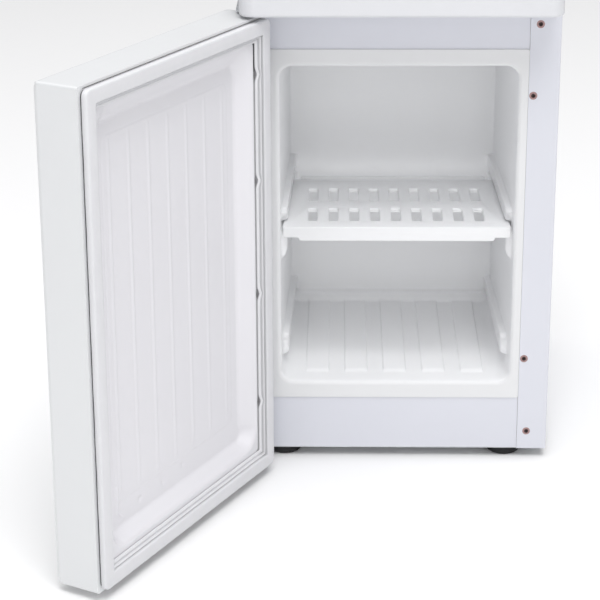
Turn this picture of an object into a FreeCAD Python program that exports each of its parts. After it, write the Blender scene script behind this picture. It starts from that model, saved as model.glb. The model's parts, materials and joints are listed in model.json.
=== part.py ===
import FreeCAD, Part
import math
import os

# Small free-standing refrigerator with one compartment, one sliding shelf and a left-hinged door.
# Millimetres. +Z is up, the door side faces -Y and +X is to the right of someone facing the open front.
# Origin: on the floor, under the centre of the cabinet's footprint.

V = FreeCAD.Vector

# ---------------------------------------------------------------- cabinet
BODY_WIDTH = 310.0
BODY_DEPTH = 335.0
BODY_HEIGHT = 464.0          # folded sheet casing, without the feet and the top
FOOT_HEIGHT = 10.0
SHEET = 1.0                  # casing steel
FLANGE_WIDTH = 30.0          # front return of each side panel
REAR_RETURN = 12.0
BAND_SETBACK = 0.8           # the front rails sit this far behind the flanges
RAIL_DEPTH = 18.0            # fold of the front rails
SEAM_GAP = 0.3
TOP_RAIL_HEIGHT = 44.0
BOTTOM_RAIL_HEIGHT = 56.0
INSULATION = 24.0            # foam behind the compartment

# ---------------------------------------------------------------- compartment
MOUTH_FROM_SEAM = 9.5        # mouth's side to the flange's inner edge
MOUTH_BOTTOM = 84.0
MOUTH_BELOW_TOP = 61.0       # mouth's top edge to the casing's top
MOUTH_CORNER = 14.0
COMPARTMENT_DEPTH = 210.0
SIDE_DRAFT = 5.0             # each side wall leans in by this much over the depth
FLOOR_RISE = 8.0             # the floor falls gently to the front
CEILING_DROP = 4.0
LINER_WALL = 1.6
RIM_WIDTH_EXTRA = 6.0        # rim beyond the mouth at each side
RIM_ABOVE = 17.0
RIM_BELOW = 17.5
RIM_PROUD = 1.2
FLOOR_RIBS = 5
FLOOR_RIB_WIDTH = 23.0
FLOOR_RIB_PITCH = 39.5
FLOOR_RIB_HEIGHT = 1.6
FLOOR_RIB_START = 22.0
FLOOR_RIB_RAMP = 6.0
LEDGE_HEIGHT = 12.0
LEDGE_DEPTH = 6.0
RAIL_PROUD = 6.0             # shelf rails stand in from the side walls
GUIDE_HEIGHT = 16.0          # rail above the shelf
SUPPORT_HEIGHT = 15.0        # rail under the shelf
LOW_RAIL_HEIGHT = 18.0
LOW_RAIL_Z = 104.0
GUIDE_START = 16.0
SUPPORT_START = 12.5
LOW_RAIL_START = 34.0
RAIL_NOSE_SLOPE = 0.6        # length of a rail's tapered nose, in rail heights
GUIDE_NOSE = 0.8             # height of the nose's tip within the rail
SUPPORT_NOSE = 0.9
LOW_RAIL_NOSE = 0.1

# ---------------------------------------------------------------- shelf
SHELF_TOP_Z = 246.5
SHELF_FRONT = 9.0            # from the cabinet's front plane
SHELF_DEPTH = 157.0
SHELF_SIDE_CLEARANCE = 2.0   # to the side walls
SHELF_PLATE = 3.0
SHELF_END_DROP = 10.0        # front edge at its ends
SHELF_NOSE_DROP = 14.7       # front edge in its middle
SHELF_NOSE_WIDTH = 196.0
SHELF_NOSE_THICK = 3.0
SHELF_REAR_LIP = 4.0
SHELF_CORNER = 8.0
SHELF_TO_RAIL = 0.3
SHELF_LIP_THICK = 3.0
SHELF_LIP_INSET = 12.0       # from the shelf's sides
APRON_INSET = 0.2
SLOT_COLUMNS = 9
SLOT_PITCH = 21.0
SLOT_WIDTH = 10.0
SLOT_ROWS = ((20.0, 40.0), (84.0, 42.0))   # start behind the shelf's front edge, length

# ---------------------------------------------------------------- top
FASCIA_OVERHANG = 62.0
FASCIA_SIDE_INSET = 4.0      # the top is this much narrower than the casing at each side
FASCIA_HEIGHT = 22.0
FASCIA_WALL = 3.0
FASCIA_CORNER = 14.0
FASCIA_EDGE = 3.0
SHADOW_GROOVE = 2.0
GROOVE_DEPTH = 4.0
WORKTOP_HEIGHT = 14.0
WORKTOP_EDGE = 4.0
TOP_GAP = 0.5                # seat strip between the casing and the fascia
STRIP_WIDTH = 16.0
STRIP_FROM_SIDE = 30.0
STRIP_FROM_FRONT = 60.0
STRIP_FROM_BACK = 20.0

# ---------------------------------------------------------------- door
DOOR_SIDE_INSET = 2.0        # the door is this much narrower than the casing at each side
DOOR_THICK = 46.5
DOOR_BOTTOM = 8.0
DOOR_TOP_GAP = 2.5           # under the fascia
DOOR_GAP = 8.0               # casing front to the door's inner edge, filled by the seal
DOOR_SKIN = 1.0
DOOR_RETURN = 8.0
DOOR_CORNER = 7.0
END_CAP = 2.5
DOOR_LINER_WALL = 1.6
GASKET_INSET = 3.0           # from the door's edge
GASKET_WIDTH = 21.0
GASKET_CLEARANCE = 0.6       # closed seal to the casing
GASKET_GROOVE_WIDTH = 2.0
GASKET_GROOVE_DEPTH = 2.6
GASKET_GROOVE_INSET = 4.5    # from the seal's edges
GASKET_RADIUS = 6.0
GASKET_GROOVE_RADIUS = 4.0
GASKET_INNER_RADIUS = 2.0
MAGNET_COVER = 1.0           # seal over the magnets
MAGNET_CORNER_GAP = 2.0
MAGNET_WIDTH = 6.0
MAGNET_THICK = 2.0
PAN_BORDER = 26.0            # flat border of the door's inner liner
PAN_SLOPE = 13.0
PAN_DEPTH = 14.0
PAN_CORNER = 14.0
PAN_DEEP_CORNER = 10.0
OPEN_ANGLE = 118.0           # how far the door stands open at rest
GRIP_WIDTH = 26.0
GRIP_LENGTH = 120.0
GRIP_DEPTH = 15.0
GRIP_WALL = 1.6
GRIP_FROM_EDGE = 22.0
GRIP_FROM_TOP = 70.0

# ---------------------------------------------------------------- hinge
PIN_FROM_EDGE = 6.5          # pin axis from the door's hinge edge
PIN_FROM_INNER = 19.0        # pin axis from the door's inner edge plane
PIN_RADIUS = 3.0
PIN_CLEARANCE = 0.05
PIN_REACH = 12.0
BUSH_WALL = 1.8
BUSH_END = 2.0               # beyond the pin's end
BRACKET_THICK = 2.5
BRACKET_WIDTH = 24.0
BRACKET_HOLD = 38.0          # length of the leaf under or on the casing
BRACKET_FRONT_ROUND = 6.0
BRACKET_BESIDE_PIN = 8.0
BRACKET_BEFORE_PIN = 9.0
BRACKET_STEP_BEHIND = 2.0    # the joggle lies just behind the casing's front plane
THRUST_GAP = 0.3             # washer to the door's lower cap
HINGE_SCREW_BITE = 4.0
HINGE_SCREW_SHARES = (0.3, 0.75)
HEAD_ROOM = 0.6              # over the screw heads of the upper hinge leaf
FLUSH_HEAD = 0.4
WASHER_THICK = 1.0
WASHER_RADIUS = 5.5
SCREW_RADIUS = 2.0
SCREW_HEAD_RADIUS = 3.4
SCREW_HEAD = 1.8
SCREW_LENGTH = 9.0

# ---------------------------------------------------------------- fasteners and feet
FLANGE_SCREW_END_OFFSET = 9.5      # from the flange's inner edge
FLANGE_SCREW_MID_OFFSET = 4.7
FLANGE_SCREW_END_INSET = 19.5
FLANGE_SCREW_LOW_Z = 109.5
FLANGE_SCREW_BELOW_TOP = 90.0
HEAD_PROUD = 0.25
FOOT_RADIUS = 15.0
FOOT_TREAD_RADIUS = 12.0
FOOT_BULGE_HEIGHT = 4.5
FOOT_TOP_RADIUS = 14.0
FOOT_SCREW_BITE = 3.0        # beyond the base pan
FOOT_FROM_SIDE = 42.0
FOOT_INSET = 22.0
FOOT_REAR_INSET = 30.0
FOOT_RECESS_RADIUS = 6.5
FOOT_RECESS = 5.0

# ---------------------------------------------------------------- cooling circuit and electrics
EVAPORATOR_WIDTH = 180.0
EVAPORATOR_HEIGHT = 230.0
EVAPORATOR_PLATE = 1.2
EVAPORATOR_TUBE = 3.0        # radius
EVAPORATOR_BEND = 8.0
EVAPORATOR_RUNS = 6
EVAPORATOR_ABOVE_FLOOR = 46.0
EVAPORATOR_MARGIN = 15.0     # tube runs to the plate's edges
LINE_STUB = 14.0             # tube ends standing out of the foam's back sheet
CONDENSER_TUBE = 2.5         # radius
CONDENSER_RUNS = 7
CONDENSER_WIDTH = 240.0
CONDENSER_PITCH = 34.0
CONDENSER_LOW_Z = 190.0
WIRE_RADIUS = 0.9
WIRE_COUNT = 14
BACK_SHEET = 0.8
COMPRESSOR_RADIUS = 40.0
COMPRESSOR_HEIGHT = 112.0
COMPRESSOR_X = 62.0
COMPRESSOR_PLATE = 3.0
COMPRESSOR_PLATE_SIZE = 86.0
GROMMET_RADIUS = 7.0
GROMMET_FROM_EDGE = 1.0
GROMMET_HEIGHT = 9.0
BOLT_RADIUS = 2.5
LINE_RADIUS = 3.0
CAPILLARY_RADIUS = 1.1
DRIER_RADIUS = 7.5
DRIER_LENGTH = 78.0
DRIER_LOW = 96.0
DRIER_EDGE = 3.0
SHOULDER = 14.0              # round of the compressor's dome
WELD_SEAM_PROUD = 2.0
WELD_SEAM_HEIGHT = 5.0
WELD_SEAM_SHARE = 0.55       # of the compressor's height
BOLT_HEAD_RADIUS = 4.6
BOLT_HEAD = 3.0
BOLT_POCKET_RADIUS = 5.0     # in the shell's lower edge, over each bolt
BOLT_POCKET = 5.0
COVER_WIDTH = 34.0           # terminal cover on the compressor's side
COVER_REACH = 20.0
COVER_LOW = 12.0
COVER_HIGH = 54.0
CONDENSER_TO_REAR = 12.0
WIRE_SIDE_MARGIN = 30.0
WIRE_OVERRUN = 8.0
CONDENSER_ARM_INSET = 26.0
CONDENSER_ARM_WIDTH = 10.0
CONDENSER_ARM_HEIGHT = 12.0
LINE_OFFSET = 14.0           # upright lines to the condenser's ends
LIQUID_RISE = 42.0
LINE_BEND = 6.0
CAPILLARY_DROP = 22.0
CAPILLARY_ACROSS = 38.0
CAPILLARY_STUB = 10.0
CAPILLARY_CLIMB = 20.0
CAPILLARY_BEND = 5.0
SUCTION_STUB = 16.0
SUCTION_RISE = 40.0
SUCTION_BEND = 7.0
SUCTION_OFFSET = 16.0        # from the compressor's middle
DISCHARGE_OFFSET = 18.0
DISCHARGE_RISE = 24.0
REAR_SHEET = 1.0
LOUVRE_LENGTH = 84.0
LOUVRE_WIDTH = 5.0
LOUVRE_PITCH = 15.0
LOUVRE_ROWS = 14
LOUVRE_FROM_MIDDLE = 18.0
LOUVRE_BELOW_CONDENSER = 6.0
COVER_SCREW_FROM_END = 24.0
COVER_SCREW_LENGTH = 8.0
KNOB_RADIUS = 13.0
KNOB_HEIGHT = 12.0
KNOB_GAP = 1.4               # to the rear cover
KNOB_SKIRT = 4.0
KNOB_STEP = 2.5
KNOB_EDGE = 1.5
POINTER_WIDTH = 2.4
POINTER_PROUD = 1.0
POINTER_INSET = 4.0
SHAFT_IN_KNOB = 1.0
SHAFT_IN_BODY = 13.0
COLLAR_RADIUS = 6.0
COLLAR_PROUD = 1.0
THERMOSTAT_WIDTH = 40.0
THERMOSTAT_DEPTH = 24.0
THERMOSTAT_HEIGHT = 28.0
SHAFT_RADIUS = 3.0
THERMOSTAT_X = -95.0
THERMOSTAT_Z = 120.0
GLAND_X = -95.0
GLAND_Z = 48.0
GLAND_BORE = 3.6
GLAND_RADIUS = 8.0
GLAND_LENGTH = 14.0
GLAND_OUTSIDE = 4.0          # beyond the rear cover
GLAND_FLANGE = 2.5
GLAND_FLANGE_WIDTH = 2.0
LEAD_RADIUS = 2.0
LEAD_BEND = 8.0
LEAD_FROM_REAR = 12.0
LEAD_REACH = 30.0
LEAD_SPACING = 10.0
SUPPLY_REACH = 22.0
SUPPLY_DROP = 24.0
TERMINAL_BLOCK_X = -44.0
TERMINAL_BLOCK_SIZE = (28.0, 24.0, 18.0)

# ---------------------------------------------------------------- places worked out from the sizes
HALF = BODY_WIDTH / 2
FRONT = -BODY_DEPTH / 2
BACK = BODY_DEPTH / 2
FLOOR_Z = FOOT_HEIGHT
CASE_TOP = FOOT_HEIGHT + BODY_HEIGHT
FASCIA_BOTTOM = CASE_TOP + TOP_GAP
FASCIA_WIDTH = BODY_WIDTH - 2 * FASCIA_SIDE_INSET
FASCIA_FRONT = FRONT - FASCIA_OVERHANG
WORKTOP_BOTTOM = FASCIA_BOTTOM + FASCIA_HEIGHT + SHADOW_GROOVE
SEAM_X = HALF - FLANGE_WIDTH
BAND_Y = FRONT + BAND_SETBACK
CAVITY_BACK = FRONT + COMPARTMENT_DEPTH
FOAM_BACK = CAVITY_BACK + INSULATION
BAY_FRONT = FOAM_BACK + BACK_SHEET
MOUTH_HALF = SEAM_X - MOUTH_FROM_SEAM
MOUTH_TOP = CASE_TOP - MOUTH_BELOW_TOP
DOOR_TOP = FASCIA_BOTTOM - DOOR_TOP_GAP
DOOR_INNER_Y = FRONT - DOOR_GAP
DOOR_OUTER_Y = DOOR_INNER_Y - DOOR_THICK
DOOR_HALF = HALF - DOOR_SIDE_INSET
PIN_X = -DOOR_HALF + PIN_FROM_EDGE
PIN_Y = DOOR_INNER_Y - PIN_FROM_INNER
BORE_RADIUS = PIN_RADIUS + PIN_CLEARANCE
BUSH_RADIUS = BORE_RADIUS + BUSH_WALL

parts = {}


def block(x0, x1, y0, y1, z0, z1):
    return Part.makeBox(x1 - x0, y1 - y0, z1 - z0, V(x0, y0, z0))


def rod(x, y, z, radius, length, axis=V(0, 0, 1)):
    return Part.makeCylinder(radius, length, V(x, y, z), axis)


def fuse(shapes):
    first, rest = shapes[0], shapes[1:]
    return first.fuse(rest).removeSplitter() if rest else first


def rounded_outline(x0, x1, z0, z1, y, radius):
    """Closed rounded rectangle in the plane at y."""
    corners = ((x1 - radius, z1 - radius, 0), (x0 + radius, z1 - radius, 90),
               (x0 + radius, z0 + radius, 180), (x1 - radius, z0 + radius, 270))
    arcs = []
    for cx, cz, start in corners:
        def on_arc(degrees):
            angle = math.radians(degrees)
            return V(cx + radius * math.cos(angle), y, cz + radius * math.sin(angle))
        arcs.append((on_arc(start), on_arc(start + 45), on_arc(start + 90)))
    edges = []
    for index, (first, middle, last) in enumerate(arcs):
        edges.append(Part.Arc(first, middle, last).toShape())
        following = arcs[(index + 1) % len(arcs)][0]
        edges.append(Part.LineSegment(last, following).toShape())
    return Part.Wire(edges)


def rounded_slab(x0, x1, z0, z1, y0, y1, radius):
    """Plate with rounded corners, thick along Y."""
    face = Part.Face(rounded_outline(x0, x1, z0, z1, y0, radius))
    return face.extrude(V(0, y1 - y0, 0))


def rounded_column(x0, x1, y0, y1, z0, z1, radius):
    """Box whose four upright edges are rounded."""
    body = block(x0, x1, y0, y1, z0, z1)
    upright = [edge for edge in body.Edges if abs(edge.tangentAt(edge.FirstParameter).z) > 0.99]
    return body.makeFillet(radius, upright)


def side_profile(points, x0, x1):
    """Solid whose outline is drawn in the Y-Z plane, from x0 to x1."""
    wire = Part.makePolygon([V(x0, y, z) for y, z in points + [points[0]]])
    return Part.Face(wire).extrude(V(x1 - x0, 0, 0))


def bent_path(points, bend):
    """Straight runs joined by tangent arcs of radius bend."""
    edges = []
    start = points[0]
    for here, following in zip(points[1:-1], points[2:]):
        into = (here - start).normalize()
        out = (following - here).normalize()
        turn = into.getAngle(out)
        cut = bend * math.tan(turn / 2)
        first = here - into * cut
        last = here + out * cut
        inward = (out - into).normalize()
        centre = here + inward * (bend / math.cos(turn / 2))
        edges.append(Part.LineSegment(start, first).toShape())
        edges.append(Part.Arc(first, centre - inward * bend, last).toShape())
        start = last
    edges.append(Part.LineSegment(start, points[-1]).toShape())
    return Part.Wire(edges)


def tube(points, radius, bend):
    path = bent_path(points, bend)
    along = points[1] - points[0]
    circle = Part.Wire(Part.Circle(points[0], along, radius).toShape())
    return path.makePipeShell([circle], True, False)


def screw(x, y, z, axis, length, head_radius=SCREW_HEAD_RADIUS, head=SCREW_HEAD, radius=SCREW_RADIUS):
    """Pan-head screw: its head sits on the point and its shank runs against axis."""
    shank = rod(x, y, z, radius, length, V(0, 0, 0) - axis)
    cap = rod(x, y, z, head_radius, head, axis)
    return fuse([shank, cap])


def group(shapes):
    return Part.makeCompound(shapes)


# ================================================================ cabinet casing
def flange_screw_places():
    low = FLOOR_Z + FLANGE_SCREW_END_INSET
    high = CASE_TOP - FLANGE_SCREW_END_INSET
    end_x, middle_x = SEAM_X + FLANGE_SCREW_END_OFFSET, SEAM_X + FLANGE_SCREW_MID_OFFSET
    return ((end_x, low), (middle_x, FLANGE_SCREW_LOW_Z),
            (middle_x, CASE_TOP - FLANGE_SCREW_BELOW_TOP), (end_x, high))


def side_panel(side):
    """Folded sheet: outer wall, front flange and narrow rear return."""
    wall = block(HALF - SHEET, HALF, FRONT, BACK - REAR_SHEET, FLOOR_Z, CASE_TOP)
    flange = block(SEAM_X, HALF, FRONT, FRONT + SHEET, FLOOR_Z, CASE_TOP)
    rear = block(HALF - REAR_RETURN, HALF, BACK - REAR_SHEET - SHEET, BACK - REAR_SHEET, FLOOR_Z, CASE_TOP)
    panel = fuse([wall, flange, rear])
    for x, z in flange_screw_places():
        panel = panel.cut(rod(x, FRONT - 1, z, SCREW_RADIUS, SHEET + 2, V(0, 1, 0)))
        sink = Part.makeCone(SCREW_HEAD_RADIUS, SCREW_RADIUS, SHEET, V(x, FRONT, z), V(0, 1, 0))
        panel = panel.cut(sink)
    return panel if side > 0 else panel.mirror(V(0, 0, 0), V(1, 0, 0))


def flange_screws():
    """Countersunk screws through the front flanges into the foamed-in blocks behind them."""
    made = []
    for side in (-1, 1):
        for x, z in flange_screw_places():
            head = Part.makeCone(SCREW_HEAD_RADIUS, SCREW_RADIUS, SHEET, V(side * x, FRONT, z), V(0, 1, 0))
            dome = rod(side * x, FRONT - HEAD_PROUD, z, SCREW_HEAD_RADIUS, HEAD_PROUD, V(0, 1, 0))
            shank = rod(side * x, FRONT + SHEET, z, SCREW_RADIUS, SCREW_LENGTH, V(0, 1, 0))
            made.append(fuse([head, dome, shank]))
    return group(made)


def front_rail(low, high):
    """Channel between the side flanges, face just behind them, open to the back."""
    inner_half = SEAM_X - SEAM_GAP
    face = block(-inner_half, inner_half, BAND_Y, BAND_Y + SHEET, low, high)
    upper = block(-inner_half, inner_half, BAND_Y, BAND_Y + RAIL_DEPTH, high - SHEET, high)
    lower = block(-inner_half, inner_half, BAND_Y, BAND_Y + RAIL_DEPTH, low, low + SHEET)
    return fuse([face, upper, lower])


parts["side_panel_left"] = side_panel(-1)
parts["side_panel_right"] = side_panel(1)
parts["flange_screws"] = flange_screws()
TOP_RAIL_BOTTOM = CASE_TOP - SHEET - TOP_RAIL_HEIGHT
parts["front_top_rail"] = front_rail(TOP_RAIL_BOTTOM, CASE_TOP - SHEET)
BOTTOM_RAIL_TOP = FLOOR_Z + SHEET + BOTTOM_RAIL_HEIGHT
parts["front_bottom_rail"] = front_rail(FLOOR_Z + SHEET, BOTTOM_RAIL_TOP)


# ================================================================ compartment liner
def wall_half(depth, grow=0.0):
    """Half width of the compartment at a depth behind the front plane."""
    return MOUTH_HALF - SIDE_DRAFT * depth / COMPARTMENT_DEPTH + grow


def floor_height(depth):
    return MOUTH_BOTTOM + FLOOR_RISE * depth / COMPARTMENT_DEPTH


def cavity(grow, front_extra=0.0):
    """The compartment's space, or the liner's outer shape when grown by its wall."""
    sections = []
    for depth in (0.0, COMPARTMENT_DEPTH):
        half = wall_half(depth, grow)
        low = floor_height(depth) - grow
        high = MOUTH_TOP - CEILING_DROP * depth / COMPARTMENT_DEPTH + grow
        y = FRONT + depth + (grow if depth > 0 else 0.0)
        sections.append(rounded_outline(-half, half, low, high, y, MOUTH_CORNER + grow))
    body = Part.makeLoft(sections, True, True)
    if front_extra:
        half = MOUTH_HALF + grow
        low, high = MOUTH_BOTTOM - grow, MOUTH_TOP + grow
        radius = MOUTH_CORNER + grow
        body = body.fuse(rounded_slab(-half, half, low, high, FRONT - front_extra, FRONT, radius))
    return body


def side_rail(side, low, high, start, nose):
    """Rail on a side wall with a tapered nose, running to the back of the compartment."""
    end = FRONT + COMPARTMENT_DEPTH
    first = FRONT + start
    middle = low + (high - low) * nose
    full = first + (high - low) * RAIL_NOSE_SLOPE
    outline = [(first, middle), (full, high), (end, high), (end, low), (full, low)]
    inner_front = wall_half(start) - RAIL_PROUD
    inner_back = wall_half(COMPARTMENT_DEPTH) - RAIL_PROUD
    body = side_profile(outline, inner_back - 1, HALF)
    lean = math.degrees(math.atan2(inner_front - inner_back, COMPARTMENT_DEPTH - start))
    keep = block(inner_front, HALF, FRONT - COMPARTMENT_DEPTH, FRONT + 2 * COMPARTMENT_DEPTH,
                 low - 1, high + 1)
    keep.rotate(V(inner_front, FRONT + start, 0), V(0, 0, 1), lean)
    body = body.common(keep)
    return body if side > 0 else body.mirror(V(0, 0, 0), V(1, 0, 0))


GUIDE_LOW = SHELF_TOP_Z + SHELF_TO_RAIL
SUPPORT_TOP = SHELF_TOP_Z - SHELF_PLATE - SHELF_TO_RAIL


def inner_liner():
    rim_half = MOUTH_HALF + RIM_WIDTH_EXTRA
    rim = rounded_slab(-rim_half, rim_half, MOUTH_BOTTOM - RIM_BELOW, MOUTH_TOP + RIM_ABOVE,
                       BAND_Y - RIM_PROUD, BAND_Y, MOUTH_CORNER + RIM_WIDTH_EXTRA)
    inside = cavity(0.0, RIM_PROUD + 1)
    shell = rim.fuse(cavity(LINER_WALL)).cut(inside)
    added = []
    rails = ((GUIDE_LOW, GUIDE_HEIGHT, GUIDE_START, GUIDE_NOSE),
             (SUPPORT_TOP - SUPPORT_HEIGHT, SUPPORT_HEIGHT, SUPPORT_START, SUPPORT_NOSE),
             (LOW_RAIL_Z, LOW_RAIL_HEIGHT, LOW_RAIL_START, LOW_RAIL_NOSE))
    for low, height, start, nose in rails:
        added += [side_rail(side, low, low + height, start, nose) for side in (-1, 1)]
    back_floor = floor_height(COMPARTMENT_DEPTH)
    back_half = wall_half(COMPARTMENT_DEPTH) + 1
    added.append(block(-back_half, back_half, CAVITY_BACK - LEDGE_DEPTH, CAVITY_BACK + 1,
                       back_floor - LINER_WALL, back_floor + LEDGE_HEIGHT))
    rib_end = COMPARTMENT_DEPTH - LEDGE_DEPTH
    ramp = FLOOR_RIB_START + FLOOR_RIB_RAMP
    low_front, low_back = floor_height(FLOOR_RIB_START), floor_height(rib_end)
    root = LINER_WALL / 2
    outline = [(FRONT + FLOOR_RIB_START, low_front - root), (FRONT + FLOOR_RIB_START, low_front),
               (FRONT + ramp, floor_height(ramp) + FLOOR_RIB_HEIGHT),
               (FRONT + rib_end, low_back + FLOOR_RIB_HEIGHT), (FRONT + rib_end, low_back - root)]
    for index in range(FLOOR_RIBS):
        x = (index - (FLOOR_RIBS - 1) / 2) * FLOOR_RIB_PITCH
        added.append(side_profile(outline, x - FLOOR_RIB_WIDTH / 2, x + FLOOR_RIB_WIDTH / 2))
    outer = cavity(LINER_WALL)
    return shell.fuse([piece.common(outer) for piece in added]).removeSplitter()


parts["inner_liner"] = inner_liner()


# ================================================================ cooling plate behind the liner
EVAPORATOR_Y = CAVITY_BACK + LINER_WALL
EVAPORATOR_LOW = MOUTH_BOTTOM + EVAPORATOR_ABOVE_FLOOR


def serpentine(x_half, y, z_low, runs, pitch):
    """Corner points of a flat serpentine, from the lowest run up."""
    points = []
    side = -1
    for index in range(runs):
        z = z_low + index * pitch
        points.append(V(side * x_half, y, z))
        points.append(V(-side * x_half, y, z))
        side = -side
    return points


EVAPORATOR_PITCH = (EVAPORATOR_HEIGHT - 2 * EVAPORATOR_MARGIN) / (EVAPORATOR_RUNS - 1)
EVAPORATOR_TUBE_Y = EVAPORATOR_Y + EVAPORATOR_PLATE + EVAPORATOR_TUBE
EVAPORATOR_HALF = EVAPORATOR_WIDTH / 2
plate = block(-EVAPORATOR_HALF, EVAPORATOR_HALF, EVAPORATOR_Y, EVAPORATOR_Y + EVAPORATOR_PLATE,
              EVAPORATOR_LOW, EVAPORATOR_LOW + EVAPORATOR_HEIGHT)
parts["evaporator_plate"] = plate
LINE_EXIT_Y = BAY_FRONT + LINE_STUB
coil = serpentine(EVAPORATOR_HALF - EVAPORATOR_MARGIN, EVAPORATOR_TUBE_Y,
                  EVAPORATOR_LOW + EVAPORATOR_MARGIN, EVAPORATOR_RUNS, EVAPORATOR_PITCH)
coil_start = V(coil[0].x, LINE_EXIT_Y, coil[0].z)
coil_end = V(coil[-1].x, LINE_EXIT_Y, coil[-1].z)
parts["evaporator_tube"] = tube([coil_start] + coil + [coil_end], EVAPORATOR_TUBE,
                                EVAPORATOR_BEND)


# ================================================================ insulation and closing sheets
def cabinet_foam():
    low, high = FLOOR_Z + SHEET, CASE_TOP - SHEET
    body = block(-HALF + SHEET, HALF - SHEET, FRONT + SHEET, FOAM_BACK, low, high)
    body = body.cut(cavity(LINER_WALL))
    body = body.cut(block(-SEAM_X, SEAM_X, FRONT, BAND_Y + RAIL_DEPTH, low, BOTTOM_RAIL_TOP))
    body = body.cut(block(-SEAM_X, SEAM_X, FRONT, BAND_Y + RAIL_DEPTH, TOP_RAIL_BOTTOM, high))
    body = body.cut(block(-SEAM_X, SEAM_X, FRONT, BAND_Y + 0.01, low, high))
    pocket = block(-EVAPORATOR_HALF, EVAPORATOR_HALF, EVAPORATOR_Y, EVAPORATOR_TUBE_Y + EVAPORATOR_TUBE,
                   EVAPORATOR_LOW, EVAPORATOR_LOW + EVAPORATOR_HEIGHT)
    body = body.cut(pocket)
    reach = EVAPORATOR_BEND + EVAPORATOR_TUBE
    for place in (coil_start, coil_end):
        body = body.cut(rod(place.x, EVAPORATOR_TUBE_Y, place.z, EVAPORATOR_TUBE, INSULATION, V(0, 1, 0)))
        inward = -1 if place.x > 0 else 1
        x0, x1 = sorted((place.x - inward * EVAPORATOR_TUBE, place.x + inward * reach))
        body = body.cut(block(x0, x1, EVAPORATOR_TUBE_Y, EVAPORATOR_TUBE_Y + reach,
                              place.z - EVAPORATOR_TUBE, place.z + EVAPORATOR_TUBE))
    for side in (-1, 1):
        for x, z in flange_screw_places():
            body = body.cut(rod(side * x, FRONT, z, SCREW_RADIUS, SHEET + SCREW_LENGTH, V(0, 1, 0)))
    return body


parts["cabinet_foam"] = cabinet_foam()
back_sheet = block(-HALF + SHEET, HALF - SHEET, FOAM_BACK, BAY_FRONT, FLOOR_Z + SHEET, CASE_TOP - SHEET)
for place in (coil_start, coil_end):
    back_sheet = back_sheet.cut(rod(place.x, FOAM_BACK - 1, place.z, EVAPORATOR_TUBE, 4, V(0, 1, 0)))
parts["foam_back_sheet"] = back_sheet

CASE_REAR = BACK - REAR_SHEET - SHEET     # inner face of the side panels' rear returns
top_sheet = block(-HALF + SHEET, HALF - SHEET, FRONT + SHEET, BACK - REAR_SHEET, CASE_TOP - SHEET, CASE_TOP)
base_pan = block(-HALF + SHEET, HALF - SHEET, FRONT + SHEET, BACK - REAR_SHEET, FLOOR_Z, FLOOR_Z + SHEET)
for side in (-1, 1):
    middle = side * (HALF - REAR_RETURN / 2)
    side_cut = block(middle - REAR_RETURN / 2, middle + REAR_RETURN / 2, CASE_REAR, BACK,
                     FLOOR_Z - 1, CASE_TOP + 1)
    top_sheet = top_sheet.cut(side_cut)
    base_pan = base_pan.cut(side_cut)
FOOT_X = HALF - FOOT_FROM_SIDE
foot_rows = (FRONT + FOOT_INSET, BACK - FOOT_REAR_INSET)
foot_places = [(side * FOOT_X, y) for y in foot_rows for side in (-1, 1)]
for x, y in foot_places:
    base_pan = base_pan.cut(rod(x, y, FLOOR_Z - 1, SCREW_RADIUS, SHEET + 2))
parts["top_sheet"] = top_sheet


# ================================================================ feet
def rubber_foot(x, y):
    """Domed disc with a recess for its screw head."""
    top = FLOOR_Z
    outline = [V(0, 0, 0), V(FOOT_TREAD_RADIUS, 0, 0), V(FOOT_RADIUS, 0, FOOT_BULGE_HEIGHT),
               V(FOOT_TOP_RADIUS, 0, top), V(0, 0, top)]
    face = Part.Face(Part.makePolygon(outline + [outline[0]]))
    disc = face.revolve(V(0, 0, 0), V(0, 0, 1), 360)
    disc = disc.cut(rod(0, 0, -1, FOOT_RECESS_RADIUS, FOOT_RECESS + 1))
    disc = disc.cut(rod(0, 0, 0, SCREW_RADIUS, FOOT_HEIGHT + 1))
    disc.translate(V(x, y, 0))
    return disc


parts["front_feet"] = group([rubber_foot(x, y) for x, y in foot_places[:2]])
parts["rear_feet"] = group([rubber_foot(x, y) for x, y in foot_places[2:]])
DOWN = V(0, 0, -1)
foot_screw_length = FOOT_HEIGHT - FOOT_RECESS + SHEET + FOOT_SCREW_BITE
foot_screws = [screw(x, y, FOOT_RECESS, DOWN, foot_screw_length) for x, y in foot_places]
parts["foot_screws"] = group(foot_screws)


# ================================================================ top
BRACKET_X0 = PIN_X - BRACKET_BESIDE_PIN
BRACKET_X1 = BRACKET_X0 + BRACKET_WIDTH
BRACKET_FRONT = PIN_Y - BRACKET_BEFORE_PIN
BRACKET_BACK = FRONT + BRACKET_HOLD
BRACKET_MIDDLE = BRACKET_X0 + BRACKET_WIDTH / 2
hinge_screw_places = [(BRACKET_MIDDLE, FRONT + BRACKET_HOLD * share) for share in HINGE_SCREW_SHARES]
BRACKET_HIGH = DOOR_BOTTOM - THRUST_GAP - WASHER_THICK
BRACKET_LOW = BRACKET_HIGH - BRACKET_THICK


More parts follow.
